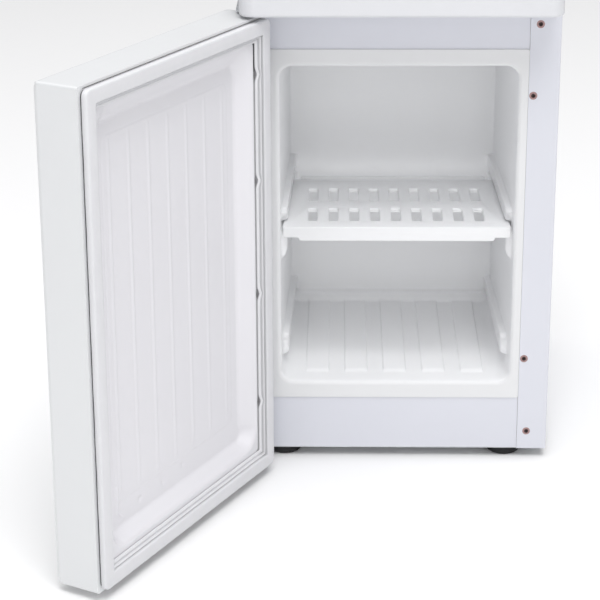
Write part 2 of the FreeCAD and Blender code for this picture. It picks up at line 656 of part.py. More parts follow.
def top_fascia():
    """Moulded tray under the worktop: rounded front, hollow, with a pocket for the upper hinge."""
    half = FASCIA_WIDTH / 2
    z0, z1 = FASCIA_BOTTOM, FASCIA_BOTTOM + FASCIA_HEIGHT
    body = rounded_column(-half, half, FASCIA_FRONT, BACK, z0, z1, FASCIA_CORNER)
    rims = [edge for edge in body.Edges if abs(edge.BoundBox.ZMax - z0) < 0.01]
    body = body.makeFillet(FASCIA_EDGE, rims)
    neck = rounded_column(-half + GROOVE_DEPTH, half - GROOVE_DEPTH, FASCIA_FRONT + GROOVE_DEPTH,
                          BACK - GROOVE_DEPTH, z1, z1 + SHADOW_GROOVE, FASCIA_CORNER - GROOVE_DEPTH)
    body = body.fuse(neck)
    inset = GROOVE_DEPTH + FASCIA_WALL
    hollow = block(-half + inset, half - inset, FASCIA_FRONT + inset, BACK - inset,
                   z0 + FASCIA_WALL + BRACKET_THICK, z1 + SHADOW_GROOVE + 1)
    body = body.cut(hollow)
    pocket = block(BRACKET_X0 - SEAM_GAP, BRACKET_X1 + SEAM_GAP, BRACKET_FRONT - SEAM_GAP,
                   BRACKET_BACK + SEAM_GAP, z0 - 1, z0 + BRACKET_THICK - TOP_GAP + HEAD_ROOM)
    return body.cut(pocket)


def worktop():
    half = FASCIA_WIDTH / 2
    z0, z1 = WORKTOP_BOTTOM, WORKTOP_BOTTOM + WORKTOP_HEIGHT
    body = rounded_column(-half, half, FASCIA_FRONT, BACK, z0, z1, FASCIA_CORNER)
    rims = [edge for edge in body.Edges if abs(edge.BoundBox.ZMin - z1) < 0.01]
    return body.makeFillet(WORKTOP_EDGE, rims)


parts["top_fascia"] = top_fascia()
parts["worktop"] = worktop()
seat_strips = []
for side in (-1, 1):
    strip_x = side * (FASCIA_WIDTH / 2 - STRIP_FROM_SIDE)
    seat_strips.append(block(strip_x - STRIP_WIDTH / 2, strip_x + STRIP_WIDTH / 2, FRONT + STRIP_FROM_FRONT,
                             BACK - STRIP_FROM_BACK, CASE_TOP, FASCIA_BOTTOM))
parts["top_seat_strips"] = group(seat_strips)


# ================================================================ hinges
def bottom_bracket():
    """Joggled plate: the rear leaf lies under the base pan, the front leaf lies lower, under the door."""
    rear_low = FLOOR_Z - BRACKET_THICK
    step = FRONT + BRACKET_STEP_BEHIND
    under = step + BRACKET_THICK
    outline = [(BRACKET_FRONT, BRACKET_LOW), (under, BRACKET_LOW), (under, rear_low),
               (BRACKET_BACK, rear_low), (BRACKET_BACK, FLOOR_Z), (step, FLOOR_Z),
               (step, BRACKET_HIGH), (BRACKET_FRONT, BRACKET_HIGH)]
    body = side_profile(outline, BRACKET_X0, BRACKET_X1)
    tip = [edge for edge in body.Edges
           if abs(edge.BoundBox.YMax - BRACKET_FRONT) < 0.01 and edge.BoundBox.ZLength > 1]
    body = body.makeFillet(BRACKET_FRONT_ROUND, tip)
    body = body.cut(rod(PIN_X, PIN_Y, 0, PIN_RADIUS, FOOT_HEIGHT))
    for x, y in hinge_screw_places:
        body = body.cut(rod(x, y, 0, SCREW_RADIUS, FOOT_HEIGHT + 1))
    return body


def top_bracket():
    """Flat leaf on the casing's top sheet, reaching forward over the door in the fascia's pocket."""
    low, high = CASE_TOP, CASE_TOP + BRACKET_THICK
    body = block(BRACKET_X0, BRACKET_X1, BRACKET_FRONT, BRACKET_BACK, low, high)
    tip = [edge for edge in body.Edges
           if abs(edge.BoundBox.YMax - BRACKET_FRONT) < 0.01 and edge.BoundBox.ZLength > 1]
    body = body.makeFillet(BRACKET_FRONT_ROUND, tip)
    body = body.cut(rod(PIN_X, PIN_Y, low - 1, PIN_RADIUS, BRACKET_THICK + 2))
    for x, y in hinge_screw_places:
        body = body.cut(rod(x, y, low - 1, SCREW_RADIUS, BRACKET_THICK + 2))
    return body


parts["bottom_hinge_bracket"] = bottom_bracket()
parts["top_hinge_bracket"] = top_bracket()
parts["bottom_hinge_pin"] = rod(PIN_X, PIN_Y, BRACKET_LOW, PIN_RADIUS, DOOR_BOTTOM + PIN_REACH - BRACKET_LOW)
parts["top_hinge_pin"] = rod(PIN_X, PIN_Y, DOOR_TOP - PIN_REACH, PIN_RADIUS,
                             CASE_TOP + BRACKET_THICK - DOOR_TOP + PIN_REACH)
washer = rod(PIN_X, PIN_Y, BRACKET_HIGH, WASHER_RADIUS, WASHER_THICK)
parts["hinge_washer"] = washer.cut(rod(PIN_X, PIN_Y, 0, PIN_RADIUS, FOOT_HEIGHT))
hinge_screws = []
hinge_screw_length = BRACKET_THICK + SHEET + HINGE_SCREW_BITE
for x, y in hinge_screw_places:
    hinge_screws.append(screw(x, y, FLOOR_Z - BRACKET_THICK, DOWN, hinge_screw_length))
    hinge_screws.append(screw(x, y, CASE_TOP + BRACKET_THICK, V(0, 0, 1), hinge_screw_length,
                              head=FLUSH_HEAD))
    base_pan = base_pan.cut(rod(x, y, FLOOR_Z - 1, SCREW_RADIUS, SHEET + 2))
parts["hinge_screws"] = group(hinge_screws)
for name in ("top_sheet", "cabinet_foam", "front_top_rail", "front_bottom_rail"):
    parts[name] = parts[name].cut(hinge_screws + foot_screws)


# ================================================================ compressor bay
BAY_MIDDLE = (BAY_FRONT + BACK - REAR_SHEET) / 2
PAN_TOP = FLOOR_Z + SHEET
PLATE_HALF = COMPRESSOR_PLATE_SIZE / 2
GROMMET_OFFSET = PLATE_HALF - GROMMET_RADIUS - GROMMET_FROM_EDGE
compressor_feet = [(COMPRESSOR_X + sx * GROMMET_OFFSET, BAY_MIDDLE + sy * GROMMET_OFFSET)
                   for sx in (-1, 1) for sy in (-1, 1)]
PLATE_Z = PAN_TOP + GROMMET_HEIGHT
SHELL_Z = PLATE_Z + COMPRESSOR_PLATE

compressor_plate = block(COMPRESSOR_X - PLATE_HALF, COMPRESSOR_X + PLATE_HALF, BAY_MIDDLE - PLATE_HALF,
                         BAY_MIDDLE + PLATE_HALF, PLATE_Z, SHELL_Z)
grommets = []
bolts = []
for x, y in compressor_feet:
    compressor_plate = compressor_plate.cut(rod(x, y, PLATE_Z - 1, BOLT_RADIUS, COMPRESSOR_PLATE + 2))
    grommet = rod(x, y, PAN_TOP, GROMMET_RADIUS, GROMMET_HEIGHT)
    grommets.append(grommet.cut(rod(x, y, PAN_TOP - 1, BOLT_RADIUS, GROMMET_HEIGHT + 2)))
    bolts.append(screw(x, y, SHELL_Z, V(0, 0, 1), SHELL_Z - FLOOR_Z, head_radius=BOLT_HEAD_RADIUS,
                       head=BOLT_HEAD, radius=BOLT_RADIUS))
    base_pan = base_pan.cut(rod(x, y, FLOOR_Z - 1, BOLT_RADIUS, SHEET + 2))
parts["base_pan"] = base_pan
parts["compressor_base_plate"] = compressor_plate
parts["compressor_grommets"] = group(grommets)
parts["compressor_bolts"] = group(bolts)

SHELL_TOP = SHELL_Z + COMPRESSOR_HEIGHT
can = rod(COMPRESSOR_X, BAY_MIDDLE, SHELL_Z, COMPRESSOR_RADIUS, COMPRESSOR_HEIGHT)
can = can.makeFillet(SHOULDER, [edge for edge in can.Edges if edge.BoundBox.ZMin > SHELL_TOP - 1])
weld_seam = rod(COMPRESSOR_X, BAY_MIDDLE, SHELL_Z + COMPRESSOR_HEIGHT * WELD_SEAM_SHARE,
                COMPRESSOR_RADIUS + WELD_SEAM_PROUD, WELD_SEAM_HEIGHT)
for x, y in compressor_feet:
    can = can.cut(rod(x, y, SHELL_Z - 1, BOLT_POCKET_RADIUS, BOLT_POCKET + 1))
parts["compressor_shell"] = fuse([can, weld_seam])
COVER_SIDE = COMPRESSOR_X - COMPRESSOR_RADIUS - COVER_REACH
cover = block(COVER_SIDE, COMPRESSOR_X, BAY_MIDDLE - COVER_WIDTH / 2, BAY_MIDDLE + COVER_WIDTH / 2,
              SHELL_Z + COVER_LOW, SHELL_Z + COVER_HIGH)
cover = cover.cut(rod(COMPRESSOR_X, BAY_MIDDLE, SHELL_Z, COMPRESSOR_RADIUS, COMPRESSOR_HEIGHT))
parts["terminal_cover"] = cover

# Condenser: one serpentine tube with wires across it, hooked to the rear cover by brackets.
REAR_INNER = BACK - REAR_SHEET
CONDENSER_Y = REAR_INNER - CONDENSER_TO_REAR
CONDENSER_HALF = CONDENSER_WIDTH / 2
CONDENSER_HIGH_Z = CONDENSER_LOW_Z + (CONDENSER_RUNS - 1) * CONDENSER_PITCH
grid = serpentine(CONDENSER_HALF, CONDENSER_Y, CONDENSER_LOW_Z, CONDENSER_RUNS, CONDENSER_PITCH)
parts["condenser_tube"] = tube(grid, CONDENSER_TUBE, CONDENSER_PITCH / 2 - 0.5)
wires = []
for index in range(WIRE_COUNT):
    x = (index / (WIRE_COUNT - 1) - 0.5) * (CONDENSER_WIDTH - 2 * WIRE_SIDE_MARGIN)
    wires.append(rod(x, CONDENSER_Y - CONDENSER_TUBE - WIRE_RADIUS, CONDENSER_LOW_Z - WIRE_OVERRUN,
                     WIRE_RADIUS, CONDENSER_HIGH_Z - CONDENSER_LOW_Z + 2 * WIRE_OVERRUN))
parts["condenser_wires"] = group(wires)
brackets = []
for side in (-1, 1):
    x = side * (CONDENSER_HALF - CONDENSER_ARM_INSET)
    for z in (CONDENSER_LOW_Z, CONDENSER_HIGH_Z):
        brackets.append(block(x - CONDENSER_ARM_WIDTH / 2, x + CONDENSER_ARM_WIDTH / 2,
                              CONDENSER_Y + CONDENSER_TUBE, REAR_INNER,
                              z - CONDENSER_ARM_HEIGHT / 2, z + CONDENSER_ARM_HEIGHT / 2))
parts["condenser_brackets"] = group(brackets)

# Filter drier standing in the bay, with the lines that join the circuit.
DRIER_X = -CONDENSER_HALF + LINE_OFFSET
DRIER_TOP = DRIER_LOW + DRIER_LENGTH
drier = rod(DRIER_X, BAY_MIDDLE, DRIER_LOW, DRIER_RADIUS, DRIER_LENGTH)
drier = drier.makeChamfer(DRIER_EDGE, [edge for edge in drier.Edges if edge.BoundBox.ZLength < 0.01])
parts["filter_drier"] = drier

line_top = DRIER_TOP + LIQUID_RISE
line_x = grid[0].x - LINE_OFFSET
liquid = [V(DRIER_X, BAY_MIDDLE, DRIER_TOP), V(DRIER_X, BAY_MIDDLE, line_top),
          V(line_x, BAY_MIDDLE, line_top), V(line_x, CONDENSER_Y, CONDENSER_LOW_Z),
          V(grid[0].x, CONDENSER_Y, CONDENSER_LOW_Z)]
parts["liquid_line"] = tube(liquid, CONDENSER_TUBE, LINE_BEND)

line_low = DRIER_LOW - CAPILLARY_DROP
line_x = DRIER_X + CAPILLARY_ACROSS
line_y = LINE_EXIT_Y + CAPILLARY_STUB
capillary = [V(DRIER_X, BAY_MIDDLE, DRIER_LOW), V(DRIER_X, BAY_MIDDLE, line_low),
             V(line_x, BAY_MIDDLE, line_low), V(line_x, line_y, coil_start.z - CAPILLARY_CLIMB),
             V(coil_start.x, line_y, coil_start.z), V(coil_start.x, LINE_EXIT_Y, coil_start.z)]
parts["capillary_tube"] = tube(capillary, CAPILLARY_RADIUS, CAPILLARY_BEND)

line_top = SHELL_TOP + SUCTION_RISE
line_x = COMPRESSOR_X - SUCTION_OFFSET
line_y = LINE_EXIT_Y + SUCTION_STUB
suction = [V(coil_end.x, LINE_EXIT_Y, coil_end.z), V(coil_end.x, line_y, coil_end.z),
           V(coil_end.x, line_y, line_top), V(line_x, BAY_MIDDLE, line_top),
           V(line_x, BAY_MIDDLE, SHELL_TOP)]
parts["suction_line"] = tube(suction, LINE_RADIUS, SUCTION_BEND)

line_top = SHELL_TOP + DISCHARGE_RISE
line_x = COMPRESSOR_X + DISCHARGE_OFFSET
side_x = CONDENSER_HALF + LINE_OFFSET
last = grid[-1]
discharge = [V(line_x, BAY_MIDDLE, SHELL_TOP), V(line_x, BAY_MIDDLE, line_top),
             V(side_x, BAY_MIDDLE, line_top), V(side_x, CONDENSER_Y, last.z),
             V(last.x, CONDENSER_Y, last.z)]
parts["discharge_line"] = tube(discharge, CONDENSER_TUBE, LINE_BEND)


# ================================================================ rear cover, thermostat and cord gland
def rear_cover_screw_places():
    x = HALF - REAR_RETURN / 2
    heights = (FLOOR_Z + COVER_SCREW_FROM_END, FLOOR_Z + BODY_HEIGHT / 2, CASE_TOP - COVER_SCREW_FROM_END)
    return [(side * x, z) for side in (-1, 1) for z in heights]


def through_rear(x, z, radius):
    """Rod that passes through the rear sheet."""
    return rod(x, REAR_INNER - 1, z, radius, REAR_SHEET + 2, BACKWARD)


def rear_cover():
    body = block(-HALF + SHEET, HALF - SHEET, REAR_INNER, BACK, FLOOR_Z, CASE_TOP)
    slots = []
    for column in (-1, 1):
        middle = column * (LOUVRE_LENGTH / 2 + LOUVRE_FROM_MIDDLE)
        for row in range(LOUVRE_ROWS):
            z = CONDENSER_LOW_Z - LOUVRE_BELOW_CONDENSER + row * LOUVRE_PITCH
            slots.append(rounded_slab(middle - LOUVRE_LENGTH / 2, middle + LOUVRE_LENGTH / 2,
                                      z, z + LOUVRE_WIDTH, REAR_INNER - 1, BACK + 1, SLOT_END_RADIUS))
    holes = [through_rear(THERMOSTAT_X, THERMOSTAT_Z, COLLAR_RADIUS),
             through_rear(GLAND_X, GLAND_Z, GLAND_RADIUS - GLAND_FLANGE_WIDTH)]
    holes += [through_rear(x, z, SCREW_RADIUS) for x, z in rear_cover_screw_places()]
    return body.cut(slots + holes)


BACKWARD = V(0, 1, 0)
SLOT_END_RADIUS = LOUVRE_WIDTH / 2 - 0.05
parts["rear_cover"] = rear_cover()
cover_screws = [screw(x, BACK, z, BACKWARD, COVER_SCREW_LENGTH) for x, z in rear_cover_screw_places()]
parts["rear_cover_screws"] = group(cover_screws)
for name in ("side_panel_left", "side_panel_right"):
    for x, z in rear_cover_screw_places():
        parts[name] = parts[name].cut(rod(x, CASE_REAR - 1, z, SCREW_RADIUS, SHEET + 2, BACKWARD))

thermostat_side = THERMOSTAT_X + THERMOSTAT_WIDTH / 2
thermostat = block(THERMOSTAT_X - THERMOSTAT_WIDTH / 2, thermostat_side, REAR_INNER - THERMOSTAT_DEPTH,
                   REAR_INNER, THERMOSTAT_Z - THERMOSTAT_HEIGHT / 2, THERMOSTAT_Z + THERMOSTAT_HEIGHT / 2)
collar = rod(THERMOSTAT_X, REAR_INNER, THERMOSTAT_Z, COLLAR_RADIUS, REAR_SHEET + COLLAR_PROUD, BACKWARD)
shaft_hole = rod(THERMOSTAT_X, REAR_INNER - SHAFT_IN_BODY - 1, THERMOSTAT_Z, SHAFT_RADIUS + PIN_CLEARANCE,
                 THERMOSTAT_DEPTH, BACKWARD)
parts["thermostat_body"] = thermostat.fuse(collar).cut(shaft_hole)


def thermostat_knob():
    """Turned knob with a pointer rib and its own shaft."""
    x, z = THERMOSTAT_X, THERMOSTAT_Z
    base = BACK + KNOB_GAP
    top = base + KNOB_HEIGHT
    skirt = rod(x, base, z, KNOB_RADIUS, KNOB_SKIRT, BACKWARD)
    crown = rod(x, base + KNOB_SKIRT, z, KNOB_RADIUS - KNOB_STEP, KNOB_HEIGHT - KNOB_SKIRT, BACKWARD)
    rim = [edge for edge in crown.Edges if edge.BoundBox.YMin > top - 0.5]
    pointer = block(x - POINTER_WIDTH / 2, x + POINTER_WIDTH / 2, top - POINTER_PROUD, top + POINTER_PROUD,
                    z, z + KNOB_RADIUS - POINTER_INSET)
    shaft = rod(x, REAR_INNER - SHAFT_IN_BODY, z, SHAFT_RADIUS,
                base + SHAFT_IN_KNOB - REAR_INNER + SHAFT_IN_BODY, BACKWARD)
    return fuse([skirt, crown.makeFillet(KNOB_EDGE, rim), pointer, shaft])


def cord_gland():
    """Flanged bush in the rear cover, open for a cord."""
    inner_end = BACK + GLAND_OUTSIDE - GLAND_LENGTH
    tube_body = rod(GLAND_X, inner_end, GLAND_Z, GLAND_RADIUS - GLAND_FLANGE_WIDTH, GLAND_LENGTH, BACKWARD)
    outer = rod(GLAND_X, BACK, GLAND_Z, GLAND_RADIUS, GLAND_FLANGE, BACKWARD)
    inner = rod(GLAND_X, REAR_INNER - GLAND_FLANGE, GLAND_Z, GLAND_RADIUS, GLAND_FLANGE, BACKWARD)
    bore = rod(GLAND_X, inner_end - 1, GLAND_Z, GLAND_BORE, GLAND_LENGTH + 2, BACKWARD)
    return fuse([tube_body, outer, inner]).cut(bore)


parts["thermostat_knob"] = thermostat_knob()
parts["cord_gland"] = cord_gland()

# Two leads from the terminal cover: one to the thermostat, one to the terminal block by the gland.
lead_z = SHELL_Z + (COVER_LOW + COVER_HIGH) / 2
lead_y = REAR_INNER - LEAD_FROM_REAR
lead_x = COVER_SIDE - LEAD_REACH
lead = [V(COVER_SIDE, BAY_MIDDLE, lead_z + LEAD_SPACING), V(lead_x, BAY_MIDDLE, lead_z + LEAD_SPACING),
        V(lead_x, lead_y, THERMOSTAT_Z), V(thermostat_side, lead_y, THERMOSTAT_Z)]
parts["thermostat_lead"] = tube(lead, LEAD_RADIUS, LEAD_BEND)
wide, deep, high = TERMINAL_BLOCK_SIZE
parts["terminal_block"] = block(TERMINAL_BLOCK_X - wide / 2, TERMINAL_BLOCK_X + wide / 2,
                                BAY_MIDDLE - deep / 2, BAY_MIDDLE + deep / 2, PAN_TOP, PAN_TOP + high)
supply = [V(COVER_SIDE, BAY_MIDDLE, lead_z - LEAD_SPACING),
          V(COVER_SIDE - SUPPLY_REACH, BAY_MIDDLE, lead_z - LEAD_SPACING),
          V(TERMINAL_BLOCK_X, BAY_MIDDLE, PAN_TOP + high + SUPPLY_DROP),
          V(TERMINAL_BLOCK_X, BAY_MIDDLE, PAN_TOP + high)]
parts["supply_lead"] = tube(supply, LEAD_RADIUS, LEAD_BEND)


# ================================================================ shelf
def shelf():
    """Moulded plate with two rows of slots, a deep front edge and a raised rear lip."""
    y0 = FRONT + SHELF_FRONT
    y1 = y0 + SHELF_DEPTH
    front_half = wall_half(SHELF_FRONT) - SHELF_SIDE_CLEARANCE
    back_half = wall_half(SHELF_FRONT + SHELF_DEPTH) - SHELF_SIDE_CLEARANCE
    z1 = SHELF_TOP_Z
    z0 = z1 - SHELF_PLATE
    corners = [V(-front_half, y0, z0), V(front_half, y0, z0), V(back_half, y1, z0), V(-back_half, y1, z0)]
    plate_body = Part.Face(Part.makePolygon(corners + [corners[0]])).extrude(V(0, 0, SHELF_PLATE))
    apron = block(-front_half + APRON_INSET, front_half - APRON_INSET, y0, y0 + SHELF_NOSE_THICK,
                  z1 - SHELF_END_DROP, z1 - 1)
    half = SHELF_NOSE_WIDTH / 2
    lean = SHELF_NOSE_DROP - SHELF_END_DROP
    low, high = z1 - SHELF_NOSE_DROP, z1 - SHELF_END_DROP
    nose_outline = [V(-half, y0, high + 1), V(-half, y0, high), V(-half + lean, y0, low),
                    V(half - lean, y0, low), V(half, y0, high), V(half, y0, high + 1)]
    nose = Part.Face(Part.makePolygon(nose_outline + [nose_outline[0]])).extrude(V(0, SHELF_NOSE_THICK, 0))
    lip = block(-back_half + SHELF_LIP_INSET, back_half - SHELF_LIP_INSET, y1 - SHELF_LIP_THICK, y1,
                z1 - 1, z1 + SHELF_REAR_LIP)
    plate_body = fuse([plate_body, apron, nose, lip])
    upright = [edge for edge in plate_body.Edges
               if edge.BoundBox.ZLength > 1 and edge.BoundBox.XLength < 0.3 and edge.BoundBox.YLength < 0.3
               and abs(edge.BoundBox.XMax) > back_half - 2 and edge.BoundBox.YMin > y1 - 1]
    plate_body = plate_body.makeFillet(SHELF_CORNER, upright)
    slots = []
    for start, length in SLOT_ROWS:
        for index in range(SLOT_COLUMNS):
            x = (index - (SLOT_COLUMNS - 1) / 2) * SLOT_PITCH
            slots.append(block(x - SLOT_WIDTH / 2, x + SLOT_WIDTH / 2, y0 + start, y0 + start + length,
                               z0 - 1, z1 + 1))
    return plate_body.cut(slots)


parts["shelf"] = shelf()


# ================================================================ door, drawn closed
CAP_BOTTOM = DOOR_BOTTOM + END_CAP
CAP_TOP = DOOR_TOP - END_CAP


def door_outline_block(z0, z1, shrink=0.0):
    """The door's plan shape: square at the inner edge, rounded at the two outer corners."""
    body = block(-DOOR_HALF + shrink, DOOR_HALF - shrink, DOOR_OUTER_Y + shrink, DOOR_INNER_Y - shrink,
                 z0, z1)
    outer = [edge for edge in body.Edges
             if edge.BoundBox.ZLength > 1 and edge.BoundBox.YMax < DOOR_OUTER_Y + shrink + 0.1]
    return body.makeFillet(DOOR_CORNER - shrink, outer)


def grip_space(grow):
    """Stadium pocket in the outer face, near the free edge."""
    x1 = DOOR_HALF - GRIP_FROM_EDGE + grow
    x0 = x1 - GRIP_WIDTH - 2 * grow
    z1 = DOOR_TOP - GRIP_FROM_TOP + grow
    z0 = z1 - GRIP_LENGTH - 2 * grow
    depth = GRIP_DEPTH + grow
    radius = GRIP_WIDTH / 2 + grow - 0.05
    return rounded_slab(x0, x1, z0, z1, DOOR_OUTER_Y - 1, DOOR_OUTER_Y + depth, radius)


def door_outer_shell():
    """Folded skin: outer face, two sides and narrow returns at the inner edge."""
    body = door_outline_block(CAP_BOTTOM, CAP_TOP)
    core = door_outline_block(CAP_BOTTOM - 1, CAP_TOP + 1, DOOR_SKIN)
    window = block(-DOOR_HALF + DOOR_RETURN, DOOR_HALF - DOOR_RETURN, DOOR_INNER_Y - 5, DOOR_INNER_Y + 1,
                   CAP_BOTTOM - 1, CAP_TOP + 1)
    return body.cut(core).cut(window).cut(grip_space(GRIP_WALL))


def grip_cup():
    cup = grip_space(GRIP_WALL).cut(grip_space(0.0))
    return cup.cut(block(-DOOR_HALF, DOOR_HALF, DOOR_OUTER_Y - 5, DOOR_OUTER_Y, DOOR_BOTTOM, DOOR_TOP))


PAN_HALF = DOOR_HALF - PAN_BORDER
PAN_LOW = DOOR_BOTTOM + PAN_BORDER
PAN_HIGH = DOOR_TOP - PAN_BORDER
LINER_BACK = DOOR_INNER_Y - DOOR_SKIN


def pan(grow):
    """Recess of the door's inner face with sloping walls."""
    wide = rounded_outline(-PAN_HALF - grow, PAN_HALF + grow, PAN_LOW - grow, PAN_HIGH + grow,
                           DOOR_INNER_Y + 0.01, PAN_CORNER + grow)
    deep_half = PAN_HALF - PAN_SLOPE
    deep = rounded_outline(-deep_half - grow, deep_half + grow, PAN_LOW + PAN_SLOPE - grow,
                           PAN_HIGH - PAN_SLOPE + grow, DOOR_INNER_Y - PAN_DEPTH - grow,
                           PAN_DEEP_CORNER + grow)
    return Part.makeLoft([wide, deep], True, True)


def door_inner_liner():
    """Formed sheet: flat border behind the shell's returns and the sloped pan."""
    border = block(-DOOR_HALF + DOOR_SKIN, DOOR_HALF - DOOR_SKIN, LINER_BACK - DOOR_LINER_WALL, LINER_BACK,
                   CAP_BOTTOM, CAP_TOP)
    window_half = DOOR_HALF - DOOR_RETURN
    step = block(-window_half, window_half, LINER_BACK - 0.1, DOOR_INNER_Y, CAP_BOTTOM, CAP_TOP)
    behind = block(-DOOR_HALF, DOOR_HALF, DOOR_OUTER_Y, DOOR_INNER_Y, DOOR_BOTTOM, DOOR_TOP)
    return fuse([border, step, pan(DOOR_LINER_WALL).common(behind)]).cut(pan(0.0))


def bush_space(z0, length):
    return rod(PIN_X, PIN_Y, z0, BUSH_RADIUS, length)


BUSH_LENGTH = PIN_REACH + BUSH_END


def door_foam():
    body = door_outline_block(CAP_BOTTOM, CAP_TOP, DOOR_SKIN)
    body = body.cut(block(-DOOR_HALF, DOOR_HALF, LINER_BACK - DOOR_LINER_WALL, DOOR_INNER_Y + 1,
                          CAP_BOTTOM - 1, CAP_TOP + 1))
    body = body.cut(pan(DOOR_LINER_WALL)).cut(grip_space(GRIP_WALL))
    body = body.cut(bush_space(CAP_BOTTOM - 1, BUSH_LENGTH - END_CAP + 1))
    return body.cut(bush_space(CAP_TOP - BUSH_LENGTH + END_CAP, BUSH_LENGTH))


def end_cap(z0, z1):
    return door_outline_block(z0, z1).cut(bush_space(z0 - 1, END_CAP + 2))


def hinge_bush(z0):
    body = bush_space(z0, BUSH_LENGTH)
    return body.cut(rod(PIN_X, PIN_Y, z0 - 1, BORE_RADIUS, BUSH_LENGTH + 2))


def gasket_ring(outer_inset, inner_inset, y0, y1, radius):
    """Rectangular ring that follows the door's edge, between two insets from it."""
    inner_radius = max(radius - inner_inset + outer_inset, GASKET_INNER_RADIUS)
    outer = rounded_slab(-DOOR_HALF + outer_inset, DOOR_HALF - outer_inset, DOOR_BOTTOM + outer_inset,
                         DOOR_TOP - outer_inset, y0, y1, radius)
    inner = rounded_slab(-DOOR_HALF + inner_inset, DOOR_HALF - inner_inset, DOOR_BOTTOM + inner_inset,
                         DOOR_TOP - inner_inset, y0 - 1, y1 + 1, inner_radius)
    return outer.cut(inner)


SEAL_FRONT = FRONT - GASKET_CLEARANCE
MAGNET_INSET = GASKET_INSET + (GASKET_WIDTH - MAGNET_WIDTH) / 2
MAGNET_Y = SEAL_FRONT - MAGNET_COVER


def door_gasket():
    ring = gasket_ring(GASKET_INSET, GASKET_INSET + GASKET_WIDTH, DOOR_INNER_Y, SEAL_FRONT, GASKET_RADIUS)
    far_groove = GASKET_WIDTH - GASKET_GROOVE_INSET - GASKET_GROOVE_WIDTH
    for inset in (GASKET_INSET + GASKET_GROOVE_INSET, GASKET_INSET + far_groove):
        ring = ring.cut(gasket_ring(inset, inset + GASKET_GROOVE_WIDTH, SEAL_FRONT - GASKET_GROOVE_DEPTH,
                                    SEAL_FRONT + 1, GASKET_GROOVE_RADIUS))
    return ring.cut(gasket_magnets())


def gasket_magnets():
    """Four flexible magnet bars enclosed in the seal."""
    x = DOOR_HALF - MAGNET_INSET
    low, high = DOOR_BOTTOM + MAGNET_INSET, DOOR_TOP - MAGNET_INSET
    y0, y1 = MAGNET_Y - MAGNET_THICK, MAGNET_Y
    clear = MAGNET_WIDTH + MAGNET_CORNER_GAP
    bars = [block(-x, -x + MAGNET_WIDTH, y0, y1, low + clear, high - clear),
            block(x - MAGNET_WIDTH, x, y0, y1, low + clear, high - clear),
            block(-x + clear, x - clear, y0, y1, low, low + MAGNET_WIDTH),
            block(-x + clear, x - clear, y0, y1, high - MAGNET_WIDTH, high)]
    return group(bars)


door = {
    "door_outer_shell": door_outer_shell(),
    "door_grip_cup": grip_cup(),
    "door_inner_liner": door_inner_liner(),
    "door_foam": door_foam(),
    "door_bottom_cap": end_cap(DOOR_BOTTOM, CAP_BOTTOM),
    "door_top_cap": end_cap(CAP_TOP, DOOR_TOP),
    "door_hinge_bushes": group([hinge_bush(DOOR_BOTTOM), hinge_bush(DOOR_TOP - BUSH_LENGTH)]),
    "door_gasket": door_gasket(),
    "door_gasket_magnets": gasket_magnets(),
}
for name, shape in door.items():
    shape.rotate(V(PIN_X, PIN_Y, 0), V(0, 0, 1), -OPEN_ANGLE)
    parts[name] = shape

os.makedirs("parts", exist_ok=True)
for name, shape in parts.items():
    shape.exportStep(f"parts/{name}.step")
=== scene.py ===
import json
import math

import bmesh
import bpy
import numpy as np
from bpy.props import FloatProperty, FloatVectorProperty, IntProperty, PointerProperty
from mathutils import Matrix, Vector


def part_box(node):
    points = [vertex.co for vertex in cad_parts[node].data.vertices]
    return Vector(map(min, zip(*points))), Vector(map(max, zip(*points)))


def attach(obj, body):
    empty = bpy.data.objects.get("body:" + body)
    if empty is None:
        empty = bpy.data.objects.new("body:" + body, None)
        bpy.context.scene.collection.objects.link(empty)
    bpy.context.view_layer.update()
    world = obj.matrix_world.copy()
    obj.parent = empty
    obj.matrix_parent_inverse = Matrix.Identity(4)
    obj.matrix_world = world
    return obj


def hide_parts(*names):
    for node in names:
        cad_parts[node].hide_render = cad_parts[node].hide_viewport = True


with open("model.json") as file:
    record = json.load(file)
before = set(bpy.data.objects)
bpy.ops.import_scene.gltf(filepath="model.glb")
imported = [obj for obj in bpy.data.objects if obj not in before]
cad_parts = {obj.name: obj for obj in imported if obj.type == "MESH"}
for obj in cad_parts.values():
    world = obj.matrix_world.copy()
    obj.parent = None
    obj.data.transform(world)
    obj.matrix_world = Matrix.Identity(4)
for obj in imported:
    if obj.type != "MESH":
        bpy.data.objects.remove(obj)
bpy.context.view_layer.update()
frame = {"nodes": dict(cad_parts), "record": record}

bl_info = {
    "name": "Small refrigerator",
    "version": (1, 0, 0),
    "blender": (4, 5, 0),
    "location": "View3D > Sidebar > Refrigerator",
    "description": "Moulded pieces, finishes and studio for a small refrigerator",
    "category": "Add Mesh",
}

MM = 0.001


# ---------------------------------------------------------------- places read from the frame, in millimetres
def box_mm(node):
    low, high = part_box(node)
    return np.array(low) / MM, np.array(high) / MM


RIM_LOW, RIM_HIGH = box_mm("inner_liner")
PANEL_LOW, PANEL_HIGH = box_mm("side_panel_right")
SHELF_LOW, SHELF_HIGH = box_mm("shelf")
PIN_LOW, PIN_HIGH = box_mm("bottom_hinge_pin")
COVER_LOW, COVER_HIGH = box_mm("rear_cover")
KNOB_LOW, KNOB_HIGH = box_mm("thermostat_knob")
DOOR_FOAM_Z = [box_mm("door_top_cap")[1][2], box_mm("door_bottom_cap")[0][2]]

